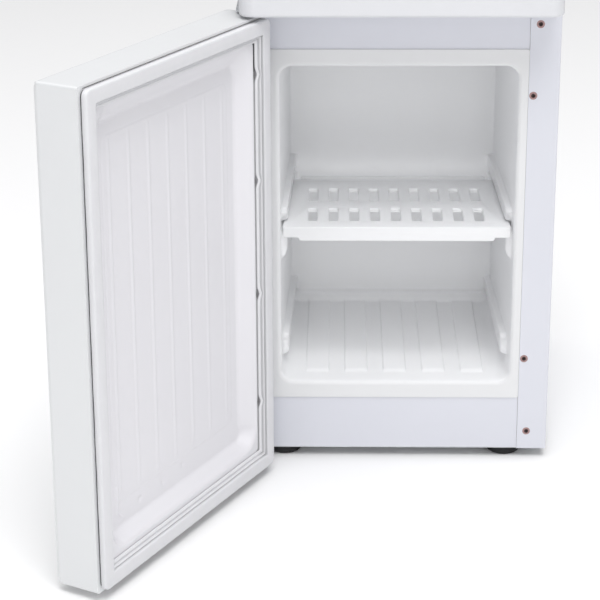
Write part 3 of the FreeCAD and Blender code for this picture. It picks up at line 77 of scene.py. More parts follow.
FRONT = PANEL_LOW[1]                 # plane of the casing's flanges
HALF = PANEL_HIGH[0]
BACK = COVER_HIGH[1]
CASE_LOW, CASE_TOP = PANEL_LOW[2], PANEL_HIGH[2]
DOOR_TOP, DOOR_BOTTOM = DOOR_FOAM_Z
DOOR_HALF = HALF - 2.0
DOOR_INNER = FRONT - 8.0             # plane of the closed door's inner edge
PIN = (PIN_LOW + PIN_HIGH) / 2
OPEN_ANGLE = frame["record"]["behaviour"]["joints"][0]["range_deg"][1]
ROUND_CUTS = 6
END_ROUND = 2.2
END_CUTS = 3
DOOR_TURN = (Matrix.Translation((PIN[0] * MM, PIN[1] * MM, 0))
             @ Matrix.Rotation(-math.radians(OPEN_ANGLE), 4, "Z")
             @ Matrix.Translation((-PIN[0] * MM, -PIN[1] * MM, 0)))


DOOR_OUTER = float(min((DOOR_TURN.inverted() @ vertex.co).y
                       for vertex in frame["nodes"]["door_outer_shell"].data.vertices)) / MM


# ---------------------------------------------------------------- sizes and colours that a user may change
def length(name, description, default):
    return FloatProperty(name=name, description=description, default=default * MM, unit="LENGTH",
                         subtype="DISTANCE", precision=5)


def colour(name, description, default):
    return FloatVectorProperty(name=name, description=description, default=default, size=3,
                               subtype="COLOR", min=0.0, max=1.0)


class FridgeSizes(bpy.types.PropertyGroup):
    """Sizes of the moulded pieces"""
    mouth_half: length("Mouth half width", "Half the width of the compartment's mouth", 115.5)
    mouth_low: length("Mouth bottom", "Height of the mouth's lower edge", 84.0)
    mouth_high: length("Mouth top", "Height of the mouth's upper edge", 413.0)
    mouth_corner: length("Mouth corner", "Corner radius of the mouth", 12.5)
    lip_radius: length("Lip radius", "Round between the rim and the walls", 3.8)
    wall_draft: length("Wall draft", "How far each side wall leans in towards the back", 5.0)
    floor_rise: length("Floor rise", "How far the floor climbs towards the back", 8.0)
    ceiling_drop: length("Ceiling drop", "How far the ceiling falls towards the back", 4.0)
    rail_proud: length("Rail height", "How far the rails stand in from the side walls", 6.0)
    rib_height: length("Rib height", "Height of the floor's ribs", 1.6)
    ledge_height: length("Ledge height", "Step along the foot of the back wall", 12.0)
    ledge_depth: length("Ledge depth", "Depth of that step", 6.0)
    pan_depth: length("Door pan depth", "Depth of the recess in the door's liner", 14.0)
    pan_slope: length("Door pan slope", "Width of the recess's sloping walls", 13.0)
    pan_border: length("Door pan border", "Flat border around the recess", 26.0)
    flute_height: length("Flute height", "Height of the shallow upright flutes in the door", 0.38)
    seal_width: length("Seal width", "Width of the door seal", 21.0)
    seal_inset: length("Seal inset", "Door's edge to the seal", 3.0)
    slot_width: length("Slot width", "Width of the shelf's slots", 10.0)
    screw_radius: length("Screw head radius", "Radius of the casing's screw heads", 4.6)
    screw_height: length("Screw head height", "Height of the casing's screw heads", 1.8)
    door_round: length("Door edge round", "Round of the door's long outer edges", 7.0)
    fold_radius: length("Fold radius", "Outer radius of the folds in the casing", 1.6)


class FridgeLook(bpy.types.PropertyGroup):
    """Colours of the finishes and the studio's light"""
    casing: colour("Casing", "Painted steel of the casing", (0.68, 0.69, 0.745))
    door: colour("Door", "Painted steel of the door", (0.745, 0.755, 0.765))
    # Painted light: the liner is coloured lighter than its plastic so that the compartment's inside stands bright; its
    # front rim is painted down to 0.80 of this.
    liner: colour("Liner", "Formed plastic of the compartment", (0.945, 0.95, 0.96))
    door_liner: colour("Door liner", "Formed plastic of the door", (0.755, 0.747, 0.775))
    trim: colour("Trim", "Moulded plastic of the top and the door's ends", (0.705, 0.71, 0.735))
    seal: colour("Seal", "Vinyl of the door seal", (0.73, 0.73, 0.75))
    floor: colour("Floor", "Studio floor", (0.97, 0.97, 0.97))
    world: FloatProperty(name="Surround", description="Strength of the even light from all sides",
                         default=0.47, min=0.0)
    key: FloatProperty(name="Key light", description="Power of the large light over the front",
                       default=32.0, min=0.0, unit="POWER")
    overhead: FloatProperty(name="Overhead light", description="Power of the wide light above",
                            default=140.0, min=0.0, unit="POWER")
    fill: FloatProperty(name="Fill light", description="Power of the light facing the compartment",
                        default=9.5, min=0.0, unit="POWER")
    screw_seed: IntProperty(name="Screw seed", description="Seed of the screws' turned positions",
                            default=7, min=0)


def sizes():
    return bpy.context.scene.fridge_sizes


def look():
    return bpy.context.scene.fridge_look


# ---------------------------------------------------------------- node trees written as expressions
class Value:
    """A socket in a node tree; Python's operators add the Math nodes."""

    def __init__(self, tree, socket):
        self.tree = tree
        self.socket = socket

    def math(self, operation, *others):
        return self.tree.add("ShaderNodeMath", {"operation": operation}, self, *others)

    def __add__(self, other):
        return self.math("ADD", other)

    def __sub__(self, other):
        return self.math("SUBTRACT", other)

    def __rsub__(self, other):
        return self.tree.add("ShaderNodeMath", {"operation": "SUBTRACT"}, other, self)

    def __mul__(self, other):
        return self.math("MULTIPLY", other)

    def __pow__(self, other):
        return self.math("POWER", other)

    __radd__ = __add__
    __rmul__ = __mul__


class Tree:
    """Adds nodes to one node tree."""

    def __init__(self, tree):
        self.tree = tree

    def add(self, kind, settings=None, *values, out=0, **named):
        """One node: its settings first, then values or links by position or by name."""
        node = self.tree.nodes.new(kind)
        for key, value in (settings or {}).items():
            if key == "stops":
                for element, (position, shade) in zip(self.stops(node, len(value)), value):
                    element.position = position
                    element.color = (*shade, 1.0)
            else:
                setattr(node, key, value)
        for index, value in enumerate(values):
            self.join(value, node.inputs[index])
        for key, value in named.items():
            self.join(value, node.inputs[key.replace("_", " ")])
        return Value(self, node.outputs[out]) if node.outputs else None

    def stops(self, node, count):
        elements = node.color_ramp.elements
        while len(elements) < count:
            elements.new(1.0)
        return elements

    def join(self, value, socket):
        if isinstance(value, Value):
            self.tree.links.new(value.socket, socket)
        elif value is not None:
            socket.default_value = value


class Finish(Tree):
    """A material whose pattern follows the object's own coordinates."""

    def __init__(self, name):
        self.material = bpy.data.materials.new(name)
        self.material.use_nodes = True
        super().__init__(self.material.node_tree)
        self.tree.nodes.clear()
        self.place = self.add("ShaderNodeTexCoord", out=3)

    def scaled(self, scale):
        return self.add("ShaderNodeMapping", None, Vector=self.place, Scale=scale)

    def noise(self, scale, detail=3.0, roughness=0.55, vector=None):
        return self.add("ShaderNodeTexNoise", None, Vector=vector or self.place, Scale=scale,
                        Detail=detail, Roughness=roughness)

    def cells(self, scale, feature="F1", out=0):
        return self.add("ShaderNodeTexVoronoi", {"feature": feature}, Vector=self.place, Scale=scale,
                        out=out)

    def between(self, factor, first, second):
        settings = {"data_type": "RGBA"}
        node = self.tree.nodes.new("ShaderNodeMix")
        for key, value in settings.items():
            setattr(node, key, value)
        self.join(factor, node.inputs[0])
        self.join((*first, 1.0) if not isinstance(first, Value) else first, node.inputs[6])
        self.join((*second, 1.0) if not isinstance(second, Value) else second, node.inputs[7])
        return Value(self, node.outputs[2])

    def ranged(self, value, low, high):
        return self.add("ShaderNodeMapRange", None, Value=value, To_Min=low, To_Max=high)

    def bump(self, height, strength, distance, below=None):
        return self.add("ShaderNodeBump", None, Height=height, Strength=strength, Distance=distance,
                        Normal=below)

    def shader(self, colour_value, roughness, normal=None, metallic=0.0, **constants):
        if not isinstance(colour_value, Value):
            colour_value = (*colour_value, 1.0)
        surface = self.add("ShaderNodeBsdfPrincipled", None, Base_Color=colour_value,
                           Roughness=roughness, Metallic=metallic, Normal=normal, **constants)
        self.add("ShaderNodeOutputMaterial", None, Surface=surface)
        return self.material


def tinted(base, factor):
    return tuple(min(1.0, channel * factor) for channel in base)


def painted_steel(name, base, peel=0.10):
    """Baked enamel: fine orange peel, slow changes of gloss and a trace of handling haze."""
    f = Finish(name)
    haze = f.noise(6.0, 4.0)
    tone = f.between(f.ranged(haze, 0.0, 1.0), tinted(base, 0.975), tinted(base, 1.02))
    rough = f.ranged(f.noise(22.0, 5.0), 0.26, 0.40)
    fine = f.bump(f.noise(620.0, 2.0), peel, 0.0004)
    return f.shader(tone, rough, f.bump(f.noise(90.0, 1.0), 0.05, 0.001, fine),
                    Coat_Weight=0.25, Coat_Roughness=0.12)


def formed_plastic(name, base, rough_low, rough_high, painted_front_shade=1.0, edge=FRONT):
    """Vacuum-formed sheet: faint draw marks, a very fine skin and a front edge painted darker than the rest, painted
    shade against the lighter inside.
    """
    f = Finish(name)
    marks = f.noise(9.0, 5.0, 0.6, f.scaled((1.0, 0.5, 0.25)))
    tone = f.between(marks, tinted(base, 0.98), tinted(base, 1.01))
    # Painted shade: near the front plane the tone drops to the given factor, so the surface behind stands lighter as if
    # lit more strongly.
    if painted_front_shade < 1.0:
        inward = f.add("ShaderNodeSeparateXYZ", None, f.place, out=1)
        inside = f.add("ShaderNodeMapRange", {"interpolation_type": "SMOOTHSTEP"}, Value=inward,
                       From_Min=(edge - 0.2) * MM, From_Max=(edge + 3.2) * MM)
        tone = f.between(inside, tinted(base, painted_front_shade), tone)
    rough = f.ranged(f.noise(45.0, 6.0), rough_low, rough_high)
    skin = f.bump(f.noise(1500.0, 2.0), 0.05, 0.0002)
    return f.shader(tone, rough, f.bump(f.noise(28.0, 2.0), 0.05, 0.002, skin), IOR=1.49)


def grained_plastic(name, base, rough=0.42, grain=1900.0):
    """Injection moulding with a spark-eroded grain and slight flow shading."""
    f = Finish(name)
    flow = f.noise(12.0, 4.0, 0.5, f.scaled((1.0, 1.0, 0.3)))
    tone = f.between(flow, tinted(base, 0.965), tinted(base, 1.02))
    pits = f.cells(grain)
    gloss = f.ranged(f.noise(60.0, 4.0), rough - 0.06, rough + 0.08)
    return f.shader(tone, gloss, f.bump(pits, 0.16, 0.0003), IOR=1.47)


def soft_vinyl(name, base, rough=0.5, fold_painted_shade=None):
    """Flexible extrusion: matt skin with fine drawn lines, a dusty mottle, and painted shade in its folds."""
    f = Finish(name)
    dust = f.noise(70.0, 6.0, 0.7)
    tone = f.between(dust, tinted(base, 0.93), tinted(base, 1.02))
    # Painted shade: points marked as lying in a fold are darkened towards the given factor of the base colour.
    if fold_painted_shade is not None:
        fold = f.add("ShaderNodeAttribute", {"attribute_name": "fold"}, out=2)
        tone = f.between(fold, tone, tinted(base, fold_painted_shade))
    lines = f.noise(420.0, 3.0, 0.6, f.scaled((1.0, 1.0, 0.12)))
    return f.shader(tone, f.ranged(dust, rough - 0.08, rough + 0.12), f.bump(lines, 0.18, 0.0004),
                    IOR=1.45)


def black_rubber(name, base):
    """Moulded rubber with a dusty bloom and a coarse matt skin."""
    f = Finish(name)
    bloom = f.noise(160.0, 6.0, 0.7)
    tone = f.between(f.ranged(bloom ** 3.0, 0.0, 0.7), base, tinted(base, 2.0))
    return f.shader(tone, f.ranged(bloom, 0.55, 0.8), f.bump(f.noise(1400.0, 3.0), 0.3, 0.0003))


def zinc_coated(name, base):
    """Galvanised sheet: spangle of flat crystals with dull and bright faces."""
    f = Finish(name)
    crystals = f.cells(140.0, out=1)
    shade = f.add("ShaderNodeSeparateColor", None, Color=crystals)
    tone = f.between(shade, tinted(base, 0.82), tinted(base, 1.12))
    rough = f.ranged(shade * 0.6 + f.noise(300.0, 4.0) * 0.4, 0.28, 0.5)
    return f.shader(tone, rough, f.bump(f.noise(900.0, 3.0), 0.1, 0.0002), metallic=0.95)


def turned_metal(name, base, stain, rough=0.3):
    """Plated fastener steel: turning marks and a warm stain in random patches."""
    f = Finish(name)
    patch = f.noise(420.0, 5.0, 0.7)
    tone = f.between(f.ranged(patch, 0.0, 1.0), base, stain)
    rings = f.noise(1600.0, 3.0, 0.6, f.scaled((1.0, 1.0, 0.2)))
    return f.shader(tone, f.ranged(patch, rough - 0.08, rough + 0.2), f.bump(rings, 0.2, 0.0002),
                    metallic=0.9)


def screw_finish(name, rim, recess):
    """Plated screw head: warm bright rim and a centre painted dark as shade in the cross recess (painted shade)."""
    f = Finish(name)
    out = f.add("ShaderNodeAttribute", {"attribute_name": "from_axis"}, out=2)
    # Painted shade: the head is darkened within about half its radius of the axis, where the cross recess lies.
    edge = f.add("ShaderNodeMapRange", {"interpolation_type": "SMOOTHSTEP"}, Value=out,
                 From_Min=0.36, From_Max=0.6)
    patch = f.noise(420.0, 5.0, 0.7)
    tone = f.between(edge, f.between(patch, recess, tinted(recess, 1.8)), f.between(patch, rim, tinted(rim, 0.8)))
    rings = f.noise(1600.0, 3.0)
    return f.shader(tone, f.ranged(patch, 0.38, 0.6), f.bump(rings, 0.2, 0.0002), metallic=0.45)


def drawn_metal(name, base, tarnish, rough=0.28):
    """Drawn tube or rolled plate: long fine lines and a cloudy tarnish."""
    f = Finish(name)
    cloud = f.noise(35.0, 6.0, 0.65)
    tone = f.between(f.ranged(cloud ** 2.0, 0.0, 0.9), base, tarnish)
    lines = f.noise(700.0, 2.0, 0.6, f.scaled((0.15, 1.0, 1.0)))
    return f.shader(tone, f.ranged(cloud, rough - 0.06, rough + 0.16), f.bump(lines, 0.12, 0.0002),
                    metallic=1.0)


def cellular_foam(name, base):
    """Rigid foam: closed cells with darker pits."""
    f = Finish(name)
    pores = f.cells(420.0)
    tone = f.between(pores, tinted(base, 0.78), base)
    return f.shader(tone, f.ranged(pores, 0.75, 0.95), f.bump(pores, 0.6, 0.001))


def dark_enamel(name, base):
    """Dipped enamel over formed steel: runs, dust specks and a soft gloss."""
    f = Finish(name)
    runs = f.noise(40.0, 4.0, 0.6, f.scaled((1.0, 1.0, 0.25)))
    tone = f.between(f.ranged(f.noise(800.0, 4.0) ** 4.0, 0.0, 1.0), base, tinted(base, 4.0))
    return f.shader(tone, f.ranged(runs, 0.3, 0.5), f.bump(runs, 0.25, 0.002))


def floor_paint(name, base):
    """Even studio floor with a barely visible mottle."""
    f = Finish(name)
    tone = f.between(f.noise(3.0, 3.0), tinted(base, 0.995), base)
    return f.shader(tone, f.ranged(f.noise(40.0, 3.0), 0.8, 0.9))


finishes = {}


def make_finishes():
    style = look()
    finishes.update({
        "casing_white": painted_steel("baked_white_enamel", tuple(style.casing)),
        "door_white": painted_steel("baked_door_enamel", tuple(style.door), 0.06),
        "door_panel": formed_plastic("formed_door_panel", tuple(style.door_liner), 0.34, 0.48),
        # Painted light and shade: the liner's inside is lighter than its rim, which is painted down to 0.80 of the
        # liner colour.
        "liner_white": formed_plastic("formed_white_liner", tuple(style.liner), 0.30, 0.44, painted_front_shade=0.80),
        # Painted light and shade: the shelf takes the lightened liner colour, and its front edge is painted down to
        # 0.90 of it.
        "shelf_white": formed_plastic("formed_white_shelf", tuple(style.liner), 0.30, 0.44, 0.90,
                                      SHELF_LOW[1]),
        "trim_white": grained_plastic("moulded_white_trim", tuple(style.trim)),
        # Painted shade: the seal's groove walls and lip undersides are painted darker through the fold attribute.
        "seal_white": soft_vinyl("white_vinyl_seal", tuple(style.seal), fold_painted_shade=0.7),
        # Painted shade: grey vinyl for the inner strip, darkened almost to black where its fold value is set.
        "seal_painted_shade": soft_vinyl("grey_seal_painted_shade", (0.42, 0.42, 0.43), 0.6, fold_painted_shade=0.16),
        # Painted shadow: near-black vinyl for the strip that stands in for the shadow under the seal's outer lip.
        "seal_shadow_strip": soft_vinyl("dark_seal_shadow_strip", (0.05, 0.05, 0.055), 0.6),
        "magnet": soft_vinyl("magnet_bar", (0.06, 0.06, 0.065), 0.6),
        "foam": cellular_foam("rigid_cream_foam", (0.80, 0.74, 0.55)),
        "zinc_steel": zinc_coated("spangled_zinc", (0.62, 0.64, 0.66)),
        "pin_steel": turned_metal("turned_pin", (0.66, 0.66, 0.68), (0.5, 0.48, 0.45), 0.22),
        "screw_steel": screw_finish("plated_screw", (0.42, 0.27, 0.26), (0.03, 0.018, 0.018)),
        "foot_rubber": black_rubber("foot_rubber", (0.008, 0.008, 0.009)),
        "nylon": grained_plastic("natural_nylon", (0.74, 0.73, 0.68), 0.38, 1200.0),
        "evaporator_aluminium": drawn_metal("rolled_aluminium", (0.74, 0.75, 0.77), (0.55, 0.56, 0.58), 0.34),
        "black_enamel": dark_enamel("black_dipped_enamel", (0.014, 0.014, 0.015)),
        "copper_line": drawn_metal("drawn_copper", (0.78, 0.42, 0.29), (0.38, 0.18, 0.12), 0.26),
        "black_plastic": grained_plastic("black_moulding", (0.022, 0.022, 0.024), 0.5),
        "knob_plastic": grained_plastic("dark_knob", (0.055, 0.056, 0.06), 0.4, 1500.0),
        "rear_grey": painted_steel("grey_cover_enamel", (0.60, 0.61, 0.63), 0.2),
        "lead_pvc": soft_vinyl("lead_sheath", (0.03, 0.03, 0.034), 0.45),
        "mark_white": grained_plastic("printed_mark", (0.78, 0.78, 0.77), 0.5),
    })


# ---------------------------------------------------------------- mesh work
def mesh_object(name, points, faces, matrix=None):
    """An object at the origin from points in millimetres."""
    mesh = bpy.data.meshes.new(name)
    mesh.from_pydata([tuple(point) for point in np.asarray(points, float) * MM], [], faces)
    if matrix is not None:
        mesh.transform(matrix)
    mesh.update()
    obj = bpy.data.objects.new(name, mesh)
    bpy.context.scene.collection.objects.link(obj)
    return obj


def baked(obj):
    """Replaces the object's mesh with its evaluated one and drops the modifiers."""
    graph = bpy.context.evaluated_depsgraph_get()
    graph.update()
    mesh = bpy.data.meshes.new_from_object(obj.evaluated_get(graph))
    mesh.name = obj.name
    obj.modifiers.clear()
    obj.data = mesh
    return obj


def dress(obj, finish, body, nodes=(), smooth_angle=38.0):
    """Finish, smooth shading and the piece's place in the frame."""
    if finish is not None:
        obj.data.materials.clear()
        obj.data.materials.append(finishes[finish])
    if smooth_angle:
        obj.data.shade_smooth()
        obj.data.set_sharp_from_angle(angle=math.radians(smooth_angle))
    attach(obj, body)
    if nodes:
        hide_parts(*nodes)
    return obj


def recalculated(obj):
    bm = bmesh.new()
    bm.from_mesh(obj.data)
    bmesh.ops.remove_doubles(bm, verts=bm.verts, dist=0.00001)
    bmesh.ops.recalc_face_normals(bm, faces=bm.faces)
    bm.to_mesh(obj.data)
    bm.free()
    return obj


def flat_faced(obj):
    """Smooth shading in which the large faces keep their own direction."""
    obj.data.shade_smooth()
    obj.data.set_sharp_from_angle(angle=math.radians(44.0))
    weighted = obj.modifiers.new("normals", "WEIGHTED_NORMAL")
    weighted.keep_sharp = True
    weighted.weight = 80
    return baked(obj)


def softened(node, name, width, segments=2, angle=32.0):
    """A copy of a CAD node with its hard edges rounded."""
    mesh = frame["nodes"][node].data.copy()
    mesh.name = name
    bm = bmesh.new()
    bm.from_mesh(mesh)
    bmesh.ops.remove_doubles(bm, verts=bm.verts, dist=0.000005)
    bmesh.ops.dissolve_limit(bm, angle_limit=math.radians(0.6), verts=bm.verts, edges=bm.edges)
    bm.to_mesh(mesh)
    bm.free()
    mesh.materials.clear()
    obj = bpy.data.objects.new(name, mesh)
    bpy.context.scene.collection.objects.link(obj)
    bevel = obj.modifiers.new("edges", "BEVEL")
    bevel.limit_method = "ANGLE"
    bevel.angle_limit = math.radians(angle)
    bevel.width = width * MM
    bevel.segments = segments
    bevel.use_clamp_overlap = False
    return flat_faced(obj)


def ring_faces(rings, count, closed_across=False):
    """Quads between rows of points that close on themselves."""
    faces = []
    rows = rings if closed_across else rings - 1
    for row in range(rows):
        after = (row + 1) % rings
        for column in range(count):
            ahead = (column + 1) % count
            faces.append((row * count + column, row * count + ahead,
                          after * count + ahead, after * count + column))
    return faces


def grid_faces(rows, columns, index):
    return [(index[r][c], index[r][c + 1], index[r + 1][c + 1], index[r + 1][c])
            for r in range(rows - 1) for c in range(columns - 1)]


def lathe(profile, centre, segments=48, axis="Z"):
    """Points and faces of a solid turned from (radius, height) pairs, closed at both ends."""
    angles = np.linspace(0, 2 * math.pi, segments, endpoint=False)
    points = []
    for radius, height in profile:
        for angle in angles:
            a, b = radius * math.cos(angle), radius * math.sin(angle)
            points.append((centre[0] + a, centre[1] + b, centre[2] + height) if axis == "Z"
                          else (centre[0] + a, centre[1] + height, centre[2] - b))
    faces = ring_faces(len(profile), segments)
    faces.append(tuple(reversed(range(segments))))
    last = (len(profile) - 1) * segments
    faces.append(tuple(range(last, last + segments)))
    return points, faces


def merged(shapes):
    """One list of points and faces from several."""
    points, faces = [], []
    for shape_points, shape_faces in shapes:
        start = len(points)
        points.extend(shape_points)
        faces.extend(tuple(index + start for index in face) for face in shape_faces)
    return points, faces


def smooth_step(value):
    value = np.clip(value, 0.0, 1.0)
    return value * value * (3 - 2 * value)


def depth_inside(u, v, corners):
    """How far points lie inside a convex outline given anticlockwise; negative outside."""
    inside = np.full(np.shape(u), 1e9)
    for (u0, v0), (u1, v1) in zip(corners, corners[1:] + corners[:1]):
        span = math.hypot(u1 - u0, v1 - v0)
        inside = np.minimum(inside, ((u1 - u0) * (v - v0) - (v1 - v0) * (u - u0)) / span)
    return inside


def spread(low, high, step, edges, radius):
    """Sorted positions from low to high: even steps, and close ones around each edge."""
    places = list(np.linspace(low, high, max(2, int(round((high - low) / step)) + 1)))
    places = [p for p in places if all(abs(p - e) > radius * 1.6 for e in edges) or p in (low, high)]
    for edge in edges:
        places += [edge + radius * share for share in (-1.5, -1.0, -0.65, -0.3, 0.0, 0.3, 0.65, 1.0, 1.5)]
    return np.array(sorted(p for p in set(np.round(places, 4)) if low <= p <= high))


# ---------------------------------------------------------------- compartment
RAILS = (((16.0, 259.6), (25.6, 246.8), (212.0, 246.8), (212.0, 262.8), (25.6, 262.8)),
         ((12.5, 241.7), (21.5, 228.2), (212.0, 228.2), (212.0, 243.2), (21.5, 243.2)),
         ((12.6, 240.5), (12.6, 214.0), (17.0, 207.0), (46.0, 229.0), (46.0, 240.0), (21.5, 243.2)),
         ((27.0, 112.0), (30.0, 101.0), (38.0, 99.0), (212.0, 104.0), (212.0, 122.0), (40.0, 122.0)))
RAIL_RAMPS = (2.2, 2.6, 8.0, 3.0)
RAIL_BANDS = ((246.8, 262.8), (228.2, 243.2), (104.0, 122.0))
RIB_PITCH = 39.5
RIB_HALF = 11.5
RIB_COUNT = 5
RIB_START = 22.0
RIB_RAMP = 6.0
ARC = 5
RIM_GAP = 0.12                       # between the rim and the casing's flanges
RIM_CORNER = 1.5
LEDGE_SLOPE = 3.0


def rail_height(depth, z):
    """How far the side wall stands in at a point, from 0 to 1."""
    height = np.zeros(np.shape(depth))
    for corners, ramp in zip(RAILS, RAIL_RAMPS):
        height = np.maximum(height, smooth_step(depth_inside(depth, z, list(corners)) / ramp))
    return height


def rib_height(x, depth):
    centres = (np.arange(RIB_COUNT) - (RIB_COUNT - 1) / 2) * RIB_PITCH
    nearest = np.min(np.abs(x[..., None] - centres), axis=-1)
    return smooth_step((RIB_HALF - nearest) / 1.6 + 0.5) * smooth_step((depth - RIB_START) / RIB_RAMP)


def held(places, low, high, keep_low, keep_high):
    """Moves only the outer positions, so that the ones between keep_low and keep_high stay."""
    out = places.copy()
    below, above = places < keep_low, places > keep_high
    out[below] = keep_low - (keep_low - places[below]) * (keep_low - low) / (keep_low - places[0])
    out[above] = keep_high + (places[above] - keep_high) * (high - keep_high) / (places[-1] - keep_high)
    return out


def four_sides(half, low, high, radius, xs, zs):
    """Bottom, right, top and left of a rounded rectangle; the corners are split at their middles."""
    def arc(cx, cz, start):
        angles = np.radians(np.linspace(start, start + 45.0, ARC))
        return np.stack([cx + radius * np.cos(angles), cz + radius * np.sin(angles)], 1)

    flat_x = held(xs, -half + radius, half - radius, -93.0, 93.0)
    flat_z = held(zs, low + radius, high - radius, 110.0, 391.0)
    left, right, down, up = -half + radius, half - radius, low + radius, high - radius
    bottom = [arc(left, down, 225.0)[:-1], np.stack([flat_x, np.full_like(flat_x, low)], 1),
              arc(right, down, 270.0)[1:]]
    side = [arc(right, down, 315.0)[:-1], np.stack([np.full_like(flat_z, half), flat_z], 1),
            arc(right, up, 0.0)[1:]]
    top = [arc(right, up, 45.0)[:-1], np.stack([flat_x[::-1], np.full_like(flat_x, high)], 1),
           arc(left, up, 90.0)[1:]]
    other = [arc(left, up, 135.0)[:-1], np.stack([np.full_like(flat_z, -half), flat_z[::-1]], 1),
             arc(left, down, 180.0)[1:]]
    return [np.concatenate(part) for part in (bottom, side, top, other)]


def compartment_surface():
    """The liner's visible face: rim, lip, walls with rails, ribbed floor and stepped back wall."""
    s = sizes()
    half, low, high = s.mouth_half / MM, s.mouth_low / MM, s.mouth_high / MM
    corner, lip = s.mouth_corner / MM, s.lip_radius / MM
    total = RIM_HIGH[1] - 1.6 - FRONT
    face = RIM_LOW[1]
    rib_edges = [c + e for c in (np.arange(RIB_COUNT) - 2) * RIB_PITCH for e in (-RIB_HALF, RIB_HALF)]
    xs = spread(-half + corner, half - corner, 9.0, rib_edges, 1.3)
    rail_edges = [z for z_pair in RAIL_BANDS for z in (z_pair[0] + 1.2, z_pair[1] - 1.2)]
    zs = spread(low + corner, high - corner, 9.0, rail_edges, 1.6)
    zs = np.array(sorted(set(np.round(np.concatenate([zs, np.arange(98.0, 109.0, 0.8), np.arange(203.0, 230.0, 1.8)]), 4))))

    def ring(depth, grow=0.0):
        share = np.clip(depth / total, 0, 1)
        low_here = low + s.floor_rise / MM * share
        high_here = high - s.ceiling_drop / MM * share
        sides = four_sides(half - s.wall_draft / MM * share + grow, low_here - grow, high_here + grow,
                           corner + grow, xs, zs)
        return np.concatenate([side[:-1] for side in sides]), sides

    rows = []
    outer = four_sides(PANEL_LOW[0] - RIM_GAP, RIM_LOW[2], RIM_HIGH[2], RIM_CORNER, xs, zs)
    outer = np.concatenate([side[:-1] for side in outer])
    inner = ring(0.0, lip)[0]
    away = inner - outer
    away_unit = away / np.linalg.norm(away, axis=1)[:, None]
    for inset, y in ((0.0, 1.17), (0.0, 0.6), (0.2, 0.18), (0.6, 0.0), (1.2, 0.0)):
        rows.append((outer + away_unit * inset * 0.8, np.full(len(outer), face + y)))
    for share in (0.5, 0.9):
        rows.append((outer + away * share, np.full(len(outer), face)))
    for angle in np.linspace(0, math.pi / 2, 8):
        grow = lip * (1 - math.sin(angle))
        rows.append((ring(0.0, grow)[0], np.full(len(outer), face + lip * (1 - math.cos(angle)))))
    depths = np.unique(np.round(np.concatenate([
        np.linspace(face + lip - FRONT + 0.8, 11.5, 5), np.arange(12.5, 60.0, 1.9),
        np.arange(60.0, 190.0, 13.0), [190.0, 197.0, 200.5, 203.0, 206.0, total - 3.5]]), 3))
    ledge_z = low + s.floor_rise / MM + s.ledge_height / MM

    def pulled(points, depth):
        """Depth of a point once the step along the back wall's foot is in."""
        end = total - s.ledge_depth / MM * smooth_step((ledge_z - points[:, 1]) / LEDGE_SLOPE + 0.5)
        return np.where(depth > 190.0, 190.0 + (depth - 190.0) * (end - 190.0) / (total - 190.0), depth)

    for depth in depths:
        points = ring(depth)[0]
        rows.append((points, FRONT + pulled(points, depth)))
    fillet = 3.5
    for angle in np.linspace(0, math.pi / 2, 5)[1:]:
        depth = total - fillet * (1 - math.sin(angle))
        points = ring(depth, -fillet * (1 - math.cos(angle)))[0]
        rows.append((points, FRONT + pulled(points, depth)))
    points = []
    for plan, y in rows:
        depth = y - FRONT
        x, z = plan[:, 0].copy(), plan[:, 1].copy()
        on_wall = np.abs(x) > 100.0
        stand = rail_height(depth, z) * on_wall * s.rail_proud / MM
        x -= np.sign(x) * stand
        on_floor = (z < 104.0) & (np.abs(x) < 96.0) & (depth > 5.0)
        z += rib_height(x, depth) * on_floor * s.rib_height / MM * smooth_step((207.0 - depth) / 4.0)
        points.append(np.stack([x, y, z], 1))
    count = len(points[0])
    faces = ring_faces(len(points), count)
    points = np.concatenate(points)
    sides = ring(total, -fillet)[1]
    return points, faces, count, sides, pulled, total


def back_wall(points, faces, count, sides, pulled, total):
    """Fills the last ring with a grid whose edges are the ring's own points."""
    bottom, right, top, left = sides[0], sides[1], sides[2][::-1], sides[3][::-1]
    nu, nv = len(bottom), len(right)
    last = len(points) - count
    index = [[None] * nu for _ in range(nv)]
    order = [(0, c) for c in range(nu - 1)] + [(r, nu - 1) for r in range(nv - 1)]
    order += [(nv - 1, nu - 1 - c) for c in range(nu - 1)] + [(nv - 1 - r, 0) for r in range(nv - 1)]
    for step, (r, c) in enumerate(order):
        index[r][c] = last + step
    u = (bottom[:, 0] - bottom[0, 0]) / (bottom[-1, 0] - bottom[0, 0])
    v = (right[:, 1] - right[0, 1]) / (right[-1, 1] - right[0, 1])
    extra = []
    for r in range(1, nv - 1):
        for c in range(1, nu - 1):
            flat = ((1 - v[r]) * bottom[c] + v[r] * top[c] + (1 - u[c]) * left[r] + u[c] * right[r]
                    - (1 - u[c]) * (1 - v[r]) * bottom[0] - u[c] * (1 - v[r]) * bottom[-1]
                    - (1 - u[c]) * v[r] * top[0] - u[c] * v[r] * top[-1])
            index[r][c] = len(points) + len(extra)
            extra.append(flat)
    extra = np.array(extra)
    sunk = np.stack([extra[:, 0], FRONT + pulled(extra, total), extra[:, 1]], 1)
    return np.concatenate([points, sunk]), faces + grid_faces(nv, nu, index)


def shell_from(obj, thickness):
    """Gives an open surface a wall behind its visible side."""
    solid = obj.modifiers.new("wall", "SOLIDIFY")
    solid.thickness = thickness * MM
    solid.offset = -1.0
    solid.use_rim = True
    return baked(obj)


